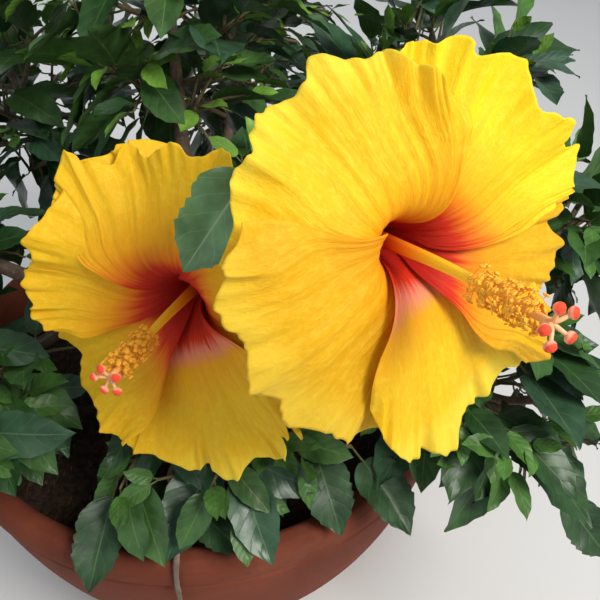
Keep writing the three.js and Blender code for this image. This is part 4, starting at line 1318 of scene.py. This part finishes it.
def bark_tube(curve, radius_at, seed, flare=None, sides=28, step=2.2):
    """A limb's surface: rings of the limb's radius, raised and lowered by long furrows that wander
    round it, by swollen nodes at uneven steps, and by a collar where it leaves its parent."""
    rows = max(12, int(curve.length / step))
    share = np.linspace(0, 1, rows)
    path = curve.at(share)
    reach = (share * curve.length)[:, None]
    turn = turns_round(sides)[None, :]
    radius = radius_at(share)[:, None]
    around = ripple(3.2 * np.cos(turn) + reach / 30, 3.2 * np.sin(turn) + reach / 34, seed)
    fine = ripple(7 * np.cos(turn), 7 * np.sin(turn) + reach / 9, seed + 4)
    random = seeded(seed + 77)
    nodes = 0
    place = 14.0
    while place < curve.length - 4:
        lean = 2 * math.pi * next(random)
        bulge = np.exp(-(((reach - place) / 2.4) ** 2)) * (0.55 + 0.45 * np.cos(turn - lean))
        scar = np.exp(-(((reach - place - 1.5) / 0.9) ** 2)) * (np.cos(turn - lean) > 0.55)
        nodes = nodes + 0.9 * bulge - 0.45 * scar
        place += between(*KNOT_GAPS, next(random))
    radii = radius * (1 + FURROWS * around + BARK_GRAIN * fine + KNOTS * nodes)
    if flare is not None:
        radii = radii + flare(reach, turn)
    return tube(path, radii)


def build_limbs(stems):
    """The trunk with its low flare, then the boughs with a collar at each root, their masses' main
    stems, and the shoot that hangs over the rim, which swells at even steps."""
    bark = bark_material("old_bark", OLD_BARK, 0.8)
    trunk = Bundle()

    def flare(reach, turn):
        lobe = 0.7 + 0.3 * np.cos(FLARE_LOBES * turn)
        return TRUNK_FLARE * np.exp(-reach / FLARE_HEIGHT) * lobe

    trunk.add(*bark_tube(limbs["trunk"].curve, limbs["trunk"].radius, 3, flare, 48, 1.4))
    trunk.finish("trunk_bark", bark, ["trunk"])
    boughs = Bundle()
    for number, (name, parent, *_) in enumerate(BOUGHS):
        limb = limbs[name]
        buried = limbs[parent].radius(np.array(0.5)) * 0.9

        def collar(reach, turn, buried=buried):
            return COLLAR_SWELL * np.exp(-np.maximum(reach - buried, 0) / COLLAR_FADE)

        boughs.add(*bark_tube(limb.curve, limb.radius, 11 * number + 5, collar))
        stem, radius_at = stems[name]
        boughs.add(*bark_tube(stem, radius_at, 13 * number + 2, None, 14, 3.0))
    hanging = Curve([stems["bough_front"][0].one(HANGING_FROM), *HANGING_SHOOT])
    reach = np.linspace(0, 1, HANGING_ROWS)[:, None]
    knots = 1 + 0.2 * np.exp(-((np.mod(reach * HANGING_KNOTS, 1) - 0.5) ** 2) / 0.012)
    radii = between(*HANGING_RADII, reach) * knots * np.ones((1, HANGING_SIDES))
    boughs.add(*tube(hanging.spaced(HANGING_ROWS - 1), radii))
    boughs.finish("boughs_bark", bark, [name for name, *_ in BOUGHS])


# Leaves: a mesh is its rows and columns, other pairs are the least and the greatest that a leaf may
# have, and radii are thick, then thin
LEAF_MESH = (11, 5)
LEAF_TEETH = 5.0
CLOSE_LEAF_MESH = (31, 11)
CLOSE_LEAF_TEETH = 9.0
LEAF_FULLER = 0.53
LEAF_FOLD = (0.12, 0.42)
LEAF_ARCH = (0.04, 0.22)
LEAF_WAVE = (0.02, 0.055)
LEAF_WAVES = (9, 14)
LEAF_PUFF = 0.012
LEAF_PUFFS = 7.5
LEAF_TWIST = 0.7
STALK_SHARE = 0.2
STALK_MESH = (4, 5)
TWIG_RADII = (2.5, 1.35)
TWIG_SIDES = 7
SHOOT_RADII = (1.35, 0.9)
SHOOT_SIDES = 5
HANGING_FACING = (0, -1, 0.5)


def leaf_outline(v, teeth):
    """Half the blade's width at a share v of its length, as a share of its greatest: an egg shape
    with a drawn-out tip, and coarse teeth beyond the first third."""
    egg = (v + 0.012) ** 0.52 * (1 - v) ** 0.70 / 0.578
    drawn = 1 - 0.30 * np.exp(-(((v - 0.93) / 0.09) ** 2))
    saw = np.mod(v * teeth, 1.0)
    return egg * drawn * (1 - 0.14 * saw * smooth((v - 0.2) / 0.25))


def leaf_arrays(leaves):
    """The root, way out, facing, side, length and width of many leaves, as arrays."""
    columns = (np.array([leaf[k] for leaf in leaves])[:, None, None] for k in range(5))
    root, along, face, length, width = columns
    return root, along, face, np.cross(along, face), length, width


def leaf_surfaces(leaves, mesh, teeth, seed):
    """Blades of many leaves at once. Along each, the stalk takes the first fifth, then the blade
    arches down with the square of the distance. Across it, the halves fold up from the midrib, the
    margin waves, and the tissue puffs between the veins. Mesh is the rows and columns of a blade."""
    rows, columns = mesh
    count = len(leaves)
    root, along, face, side, length, width = leaf_arrays(leaves)
    chance = np.random.default_rng(seed).random((6, count, 1, 1))
    v = np.linspace(0, 1, rows)[None, :, None]
    u = np.linspace(-1, 1, columns)[None, None, :]
    across = u * leaf_outline(v, teeth) * width * LEAF_FULLER
    out = length * STALK_SHARE + length * (1 - STALK_SHARE) * v
    arch = between(*LEAF_ARCH, chance[1]) * length
    lift = between(*LEAF_FOLD, chance[0]) * np.abs(across) - arch * v**2 - 0.25 * arch * v
    phase = 6.3 * chance[4] + 1.6 * np.sign(u)
    wave = np.sin(between(*LEAF_WAVES, chance[3]) * v + phase)
    lift = lift + between(*LEAF_WAVE, chance[2]) * width * wave * np.abs(u)
    puff = np.cos(LEAF_PUFFS * 2 * math.pi * (v - 0.31 * np.abs(u)))
    lift = lift - LEAF_PUFF * width * puff * np.abs(u)
    twist = (chance[5] - 0.5) * LEAF_TWIST * v
    y = across * np.cos(twist) - lift * np.sin(twist)
    z = across * np.sin(twist) + lift * np.cos(twist)
    points = root + along * out[..., None] + side * y[..., None] + face * z[..., None]
    faces = repeated(quads_of(rows, columns), rows * columns, count)
    pattern = np.stack(np.broadcast_arrays(u * 0.5 + 0.5 + 0 * v, v + 0 * u), -1)
    return points, [faces], np.broadcast_to(pattern, (count, rows, columns, 2))


def stalk_surfaces(leaves):
    """The stalks of many leaves at once: thin tubes from each root to the foot of its blade, a
    little slimmer and lower in the middle."""
    rows, sides = STALK_MESH
    root, along, face, side, length, _ = leaf_arrays(leaves)
    share = np.linspace(0, 1, rows)[None, :, None]
    turn = turns_round(sides)[None, None, :]
    radius = (0.55 + 0.006 * length) * (1 - 0.25 * np.sin(math.pi * share))
    out = share * length * (STALK_SHARE + 0.03) - 1.0
    y = radius * np.cos(turn)
    z = radius * np.sin(turn) - 0.9 * np.sin(math.pi * share) - 0.4
    points = root + along * (out + 0 * turn)[..., None] + side * y[..., None] + face * z[..., None]
    return points, [repeated(quads_of(rows, sides, True), rows * sides, len(leaves))]


def build_foliage():
    """Grows every mass and sets the leaves of the hanging shoot, then joins the twigs, the blades by
    tint, and the stalks. Gives each mass's main stem and its rule for the radius, by bough."""
    leaves = []
    twigs = Bundle()
    stems = {}
    masses = [mass for _, _, _, mass, *_ in BOUGHS]
    for name, _, _, mass, *_ in BOUGHS:
        bough = limbs[name]
        stem = Curve(stem_route(mass, bough))
        thick = bough.radius(np.array(1.0))
        thin = SHOOT_THIN if MASSES[mass][5] else STEM_THIN
        stems[name] = (stem, lambda share, a=thick, b=thin: between(a, b, share**LIMB_TAPER))
        grown, mass_twigs, shoots = grow_mass(mass, stem)
        leaves.extend(grown)
        for curve in mass_twigs:
            rows = max(5, int(curve.length / 8))
            share = np.linspace(0, 1, rows)[:, None]
            uneven = 1 + 0.07 * np.sin(share * curve.length / 2.6)
            radii = between(*TWIG_RADII, share) * uneven * np.ones((1, TWIG_SIDES))
            twigs.add(*tube(curve.spaced(rows - 1), radii))
        for curve in shoots:
            twigs.add(*taper(curve, 4, *SHOOT_RADII, SHOOT_SIDES))
    leaves.extend(leaf_between(*leaf, HANGING_FACING, HANGING_TINT) for leaf in HANGING_LEAVES)
    twigs.finish("twigs", bark_material("young_bark", YOUNG_BARK, 0.6), masses)
    for tint, (name, colour, vein, roughness) in enumerate(LEAF_TINTS):
        close = tint >= SUNLIT_FRONT_TINT
        mesh = CLOSE_LEAF_MESH if close else LEAF_MESH
        teeth = CLOSE_LEAF_TEETH if close else LEAF_TEETH
        chosen = [leaf for leaf in leaves if leaf[5] == tint]
        blades = Bundle()
        blades.add(*leaf_surfaces(chosen, mesh, teeth, 40 + tint))
        blades.finish(name, leaf_material(name, colour, vein, roughness), masses)
    stalks = Bundle()
    stalks.add(*stalk_surfaces(leaves))
    stalks.finish("leaf_stalks", bark_material("stalk_skin", STALK_SKIN, 0.5), masses)
    return stems


# Flowers: the petals' mesh, their thickness at the root and the margin, and where on the row of
# colours the red ends
PETAL_ROWS = 74
PETAL_COLUMNS = 131
PETAL_THICK = 0.5
PETAL_MARGIN = 0.16
PETAL_START = 0.015
BLUSH_END = 0.3
BLUSH_SPAN = 100


def build_petals(name, petals):
    """Each petal's middle surface, set off to both sides by half a thickness that thins towards the
    margin, and closed round its edge."""
    rows, columns = PETAL_ROWS, PETAL_COLUMNS
    count = rows * columns
    ranks, sides = np.linspace(PETAL_START, 1, rows), np.linspace(-1, 1, columns)
    s, t = np.meshgrid(ranks, sides, indexing="ij")
    front = quads_of(rows, columns)
    index = np.arange(count).reshape(rows, columns)
    ring = np.concatenate([index[0, :-1], index[:-1, -1], index[-1, :0:-1], index[:0:-1, 0]])
    after = np.roll(ring, -1)
    edge = np.stack([after, ring, ring + count, after + count], -1)
    for k in range(5):
        middle = petal_surface(name, k, s, t, 1.0)
        normal = unit(np.cross(np.gradient(middle, axis=1), np.gradient(middle, axis=0)))
        thick = between(PETAL_THICK, PETAL_MARGIN, smooth((s - 0.3) / 0.7))[..., None] / 2
        both = np.concatenate([middle + normal * thick, middle - normal * thick])
        reach = petal_plan(name, k, s, t)[2] - FLOWERS[name]["petals"][k][8]
        values = np.stack([t * 0.5 + 0.5, reach / BLUSH_SPAN + BLUSH_END], -1)
        bundle = Bundle()
        bundle.add(both, [front, front[:, ::-1] + count, edge], np.concatenate([values, values]))
        bundle.finish(f"petal_{name}_{k + 1}", petals[k], ["petals_" + name])


def grains(centres, ways, long, wide, rows=4, sides=6):
    """Many small closed grains at once: each is an egg of the given half length and half width,
    along its own way."""
    lat = np.linspace(0, math.pi, rows + 1)[1:-1, None]
    lon = turns_round(sides)
    ring = np.stack([np.cos(lat) + 0 * lon, np.sin(lat) * np.cos(lon), np.sin(lat) * np.sin(lon)], -1)
    local, faces = capped(ring, (1, 0, 0), (-1, 0, 0))
    first = unit(np.cross(ways, UP + 0.01))
    second = np.cross(ways, first)
    basis = np.stack([ways * long, first * wide, second * wide * 0.7], 1)
    points = centres[:, None] + np.einsum("pk,nkd->npd", local, basis)
    return points, [repeated(f[:, ::-1], len(local), len(centres)) for f in faces]


# The column with its stamens and branches: a mesh is its rows and sides, and radii are thick, then
# thin. Stamens leave between two shares of its length, and reach out and ahead between two lengths
COLUMN_RADII = (3.9, 1.35)
COLUMN_BOW = 1.6
COLUMN_MESH = (60, 20)
STAMENS = 120
STAMEN_SEEDS = {"right": 5, "left": 6}
STAMEN_PLACES = (0.64, 0.95)
STAMEN_OUT = (3.7, 6.9)
STAMEN_AHEAD = (0.5, 4.5)
THREAD_RADIUS = 0.24
THREAD_MESH = (5, 4)
ANTHER_SIZE = (1.15, 0.75)
POLLEN_GRAINS = 260
POLLEN_REACH = 1.25
POLLEN_SIZE = (0.32, 0.32)
STYLE_RADII = (0.95, 0.6)
STIGMA_REACH = 6.4
STIGMA_AHEAD = 4.2
STIGMA_RADIUS = 2.1
STIGMA_FLAT = 0.8
STIGMA_MESH = (11, 24)


def build_column(name, materials):
    """The column: a slim tapering shaft with a slight bow and five faint ridges, then its stamens,
    and the branches at its tip."""
    axis, _, third, foot = frames[name]
    tip = np.array(FLOWERS[name]["column_tip"], float)
    start = foot + axis
    way = unit(tip - start)
    first = unit(third - way * (third @ way))
    second = np.cross(way, first)
    bow = Curve([start, between(start, tip, 0.5) + first * COLUMN_BOW, tip])
    rows, sides = COLUMN_MESH
    share = np.linspace(0, 1, rows)
    ridged = 1 + 0.05 * np.cos(5 * turns_round(sides))[None]
    shaft = Bundle()
    shaft.add(*tube(bow.at(share), between(*COLUMN_RADII, share**0.55)[:, None] * ridged))
    shaft.finish("column_shaft_" + name, materials["shaft"], ["column_" + name])
    build_stamens(name, materials, bow, way, first, second)
    build_stigmas(name, materials, tip, way, first, second)


def build_stamens(name, materials, bow, way, first, second):
    """Threads that leave the column all round its outer part by the golden turn, bend forward with
    the square of their length, and each bear a two-lobed anther dusted with pollen."""
    random = np.random.default_rng(STAMEN_SEEDS[name])
    order = np.arange(STAMENS)
    turn = (order * GOLDEN_TURN)[:, None]
    spoke = first * np.cos(turn) + second * np.sin(turn)
    sideways = np.cross(spoke, way)
    roots = bow.at(between(*STAMEN_PLACES, (order + 0.5) / STAMENS))
    reach = between(*STAMEN_OUT, random.random(STAMENS))[:, None]
    ahead = between(*STAMEN_AHEAD, random.random(STAMENS))[:, None]
    ends = roots + spoke * reach + way * ahead
    rows, sides = THREAD_MESH
    steps = np.linspace(0, 1, rows)[None, :, None]
    outward = (spoke * reach)[:, None] * steps**0.8
    lines = roots[:, None] + outward + way * (ahead[:, None] * steps**2)
    ring = turns_round(sides)[:, None]
    around = np.cos(ring) * way + np.sin(ring) * sideways[:, None]
    points = lines[:, :, None] + THREAD_RADIUS * around[:, None]
    pattern = np.broadcast_to(steps[0, :, :, None], (STAMENS, rows, sides, 2))
    threads = Bundle()
    threads.add(points, [repeated(quads_of(rows, sides, True), rows * sides, STAMENS)], pattern)
    threads.finish("filaments_" + name, materials["thread"], ["column_" + name])
    anthers = Bundle()
    facing = unit(sideways + 0.8 * (random.random((STAMENS, 3)) - 0.5))
    for lobe in (-0.5, 0.5):
        centres = ends + unit(np.cross(facing, spoke)) * lobe
        anthers.add(*grains(centres, facing, *ANTHER_SIZE))
    wander = unit(random.random((POLLEN_GRAINS, 3)) - 0.5)
    dust = ends[random.integers(0, STAMENS, POLLEN_GRAINS)] + wander * POLLEN_REACH
    anthers.add(*grains(dust, wander, *POLLEN_SIZE, 3, 4))
    anthers.finish("anthers_" + name, materials["anther"], ["column_" + name])


def build_stigmas(name, materials, tip, way, first, second):
    """Five branches that spread from the column's tip, each with a pad at its end: a flattened ball
    with a fuzzy surface, whose pattern runs from its top to its underside."""
    branches = Bundle()
    pads = Bundle()
    rows, sides = STIGMA_MESH
    lat = np.linspace(0, math.pi, rows + 2)[1:-1][:, None]
    lon = turns_round(sides)[None]
    east, north = 6 * np.cos(lon) * np.sin(lat), 6 * np.sin(lon) * np.sin(lat)
    value = np.broadcast_to(lat / math.pi, (rows, sides)).reshape(-1)
    value = np.concatenate([value, [0, 1]])
    for k, lean in enumerate(turns_round(5) + 0.25):
        out = first * math.cos(lean) + second * math.sin(lean)
        end = tip + out * STIGMA_REACH + way * (STIGMA_AHEAD + 0.8 * math.sin(3 * k))
        branch = Curve([tip - way * 1.5, tip + way * 1.6 + out * 1.2, end])
        branches.add(*taper(branch, 10, *STYLE_RADII, 8))
        facing = unit(out * 0.5 + way)
        one = unit(np.cross(facing, UP))
        two = np.cross(facing, one)
        fuzz = 1 + 0.06 * ripple(east, north, 20 + k, 9)
        flat = np.sin(lat) * STIGMA_RADIUS * fuzz
        tall = np.cos(lat) * STIGMA_RADIUS * STIGMA_FLAT * fuzz
        grid = end + one * (flat * np.cos(lon))[..., None] + two * (flat * np.sin(lon))[..., None]
        pole = facing * STIGMA_RADIUS * STIGMA_FLAT
        points, faces = capped(grid + facing * tall[..., None], end + pole, end - pole)
        pads.add(points, faces, np.stack([value, value], -1))
    branches.finish("styles_" + name, materials["style"], ["column_" + name])
    pads.finish("stigmas_" + name, materials["pad"], ["column_" + name])


# The calyx: how far it stands past its own length, and its points past that, with the bracts' size
CALYX_MESH = (22, 80)
CALYX_PAST = 4
CALYX_POINTS = 9
CALYX_THICK = 0.6
BRACTS = 7
BRACT_MESH = (9, 5)
BRACT_LENGTH = 15
BRACT_WIDTH = 4.2


def build_calyx(name, material):
    """The calyx is a turned cup whose rim runs out into five points, with an outer and an inner
    side, and a ring of seven narrow bracts curves out below it."""
    axis, across, third, foot = frames[name]
    rows, turns = CALYX_MESH
    v = np.linspace(0, 1, rows)[:, None]
    turn = turns_round(turns)[None]
    point = np.abs(np.cos(2.5 * turn)) ** 1.5
    tall = CALYX_LENGTH + CALYX_PAST + CALYX_POINTS * point
    depth = -CORE_BACK - CALYX_LENGTH + tall * v
    belly = 3.0 + 5.6 * smooth(v / 0.62) + 1.1 * smooth((v - 0.6) / 0.4)
    ribs = 1 + 0.035 * np.cos(10 * turn) * np.sin(math.pi * v)

    def side(inset):
        radius = belly * ribs - inset
        around = across * np.cos(turn)[..., None] + third * np.sin(turn)[..., None]
        return foot + around * radius[..., None] + axis * depth[..., None]

    outer, inner = side(0.0), side(CALYX_THICK)
    grid = np.concatenate([outer, inner[::-1]])
    points, faces = capped(grid, outer[0].mean(axis=0) - axis * 0.5, inner[0].mean(axis=0))
    values = np.concatenate([v, v[::-1]]) + np.zeros((1, turns))
    values = np.concatenate([values.reshape(-1), [0, 0]])
    bundle = Bundle()
    bundle.add(points, [f[:, ::-1] for f in faces], np.stack([values, values], -1))
    base = foot - axis * (CORE_BACK + CALYX_LENGTH - 2)
    bracts = []
    for lean in turns_round(BRACTS):
        out = across * math.cos(lean) + third * math.sin(lean)
        root, way = base + out * 2.5, out * 0.75 + axis
        bracts.append(describe_leaf(root, way, axis - out, BRACT_LENGTH, BRACT_WIDTH, 0))
    bundle.add(*leaf_surfaces(bracts, BRACT_MESH, 1.0, 9))
    bundle.finish("calyx_cup_" + name, material, ["calyx_" + name])


def build_flowers():
    """Both flowers, with a colour for each petal. The right one's are lemon, with a brighter copy on
    the petal that faces the light, painted light, and a deeper amber copy on its two shaded petals,
    painted shade;
    the left one's are a deeper gold copy, painted shade over the whole flower; and each has one petal
    with a pink halo."""
    shaded_amber = petal_material("petal_shaded_amber", SHADED_AMBER)
    shaded_gold = petal_material("petal_shaded_gold", SHADED_GOLD)
    shaded_gold_halo = petal_material("petal_shaded_gold_halo", SHADED_GOLD, PINK)
    right = [
        petal_material("petal_lemon", LEMON),
        petal_material("petal_sunlit_lemon", SUNLIT_LEMON),
        shaded_amber,
        petal_material("petal_lemon_halo", LEMON, PINK),
        shaded_amber,
    ]
    left = [shaded_gold, shaded_gold, shaded_gold, shaded_gold_halo, shaded_gold]
    pollen = along_material("anther_pollen", 0.8, ANTHER_COLOURS, 0.0, ANTHER_SPECKLE)
    materials = {
        "shaft": along_material("column_skin", 0.45, COLUMN_COLOURS_AND_HIGHLIGHT, 0.15),
        "thread": along_material("filament_skin", 0.5, THREAD_COLOURS, 0.1),
        "anther": pollen,
        "style": along_material("style_skin", 0.5, STYLE_COLOURS, 0.15),
        "pad": along_material("stigma_pad", 0.75, PAD_COLOURS, 0.1),
    }
    calyx = along_material("calyx_skin", 0.55, CALYX_COLOURS, 0.05)
    for name, petals in (("right", right), ("left", left)):
        build_petals(name, petals)
        build_column(name, materials)
        build_calyx(name, calyx)


# The studio: the floor's half width, the sky, and each light as (name, place, size, power, colour)
FLOOR_HALF = 6.0
FLOOR_COLOUR = (0.72, 0.71, 0.69, 1)
SKY_COLOUR = (0.86, 0.92, 1.0, 1)
SKY_STRENGTH = 0.42
LIGHTS = [
    ("key", (0.85, -0.75, 1.45), 0.55, 24, (1.0, 0.97, 0.91)),
    ("fill", (-1.2, -1.0, 0.9), 1.4, 4, (0.9, 0.95, 1.0)),
    ("rim", (-0.3, 1.5, 1.3), 1.0, 8, (0.95, 0.97, 1.0)),
]
LIGHT_AIM = (0.05, -0.1, 0.38)


def build_studio():
    """A pale floor, a pale sky, a soft key light from the upper right and front, a broad fill from
    the left and a rim light from behind."""
    floor = bpy.data.meshes.new("studio_floor")
    corners = [(-1, -1, 0), (1, -1, 0), (1, 1, 0), (-1, 1, 0)]
    floor.from_pydata(np.array(corners) * FLOOR_HALF, [], [(0, 1, 2, 3)])
    paper, _, shader = new_material("floor_paper", 0.9)
    shader.inputs["Base Color"].default_value = FLOOR_COLOUR
    floor.materials.append(paper)
    ground = bpy.data.objects.new("studio_floor", floor)
    bpy.context.scene.collection.objects.link(ground)

    world = bpy.data.worlds.new("studio_sky")
    world.use_nodes = True
    sky = world.node_tree.nodes["Background"]
    sky.inputs["Color"].default_value = SKY_COLOUR
    sky.inputs["Strength"].default_value = SKY_STRENGTH
    bpy.context.scene.world = world
    for name, place, size, power, colour in LIGHTS:
        lamp = bpy.data.lights.new(name, "AREA")
        lamp.size = size
        lamp.energy = power
        lamp.color = colour
        shone = bpy.data.objects.new(name, lamp)
        shone.location = place
        way = Vector(LIGHT_AIM) - Vector(place)
        shone.rotation_euler = way.to_track_quat("-Z", "Y").to_euler()
        bpy.context.scene.collection.objects.link(shone)
    bpy.context.scene.view_settings.view_transform = "Standard"


# The camera looks down on the flowers over the front of the pot
CAMERA_PLACE = (0.075, -0.389, 0.619)
CAMERA_DOWN = 42
FOCAL_PIXELS = 690
FRAME_PIXELS = 600
SENSOR = 36.0


def build_camera():
    """The camera's lens is its sensor's width by the focal length and frame width in pixels."""
    lens = bpy.data.cameras.new("view")
    lens.sensor_width = SENSOR
    lens.lens = SENSOR * FOCAL_PIXELS / FRAME_PIXELS
    lens.clip_start = 0.01
    camera = bpy.data.objects.new("view", lens)
    camera.location = CAMERA_PLACE
    camera.rotation_euler = (math.radians(90 - CAMERA_DOWN), 0, 0)
    bpy.context.scene.collection.objects.link(camera)
    bpy.context.scene.camera = camera


pot, drill = build_pot()
drill_pot(pot, drill)
build_soil()
build_limbs(build_foliage())
build_flowers()
build_studio()
build_camera()
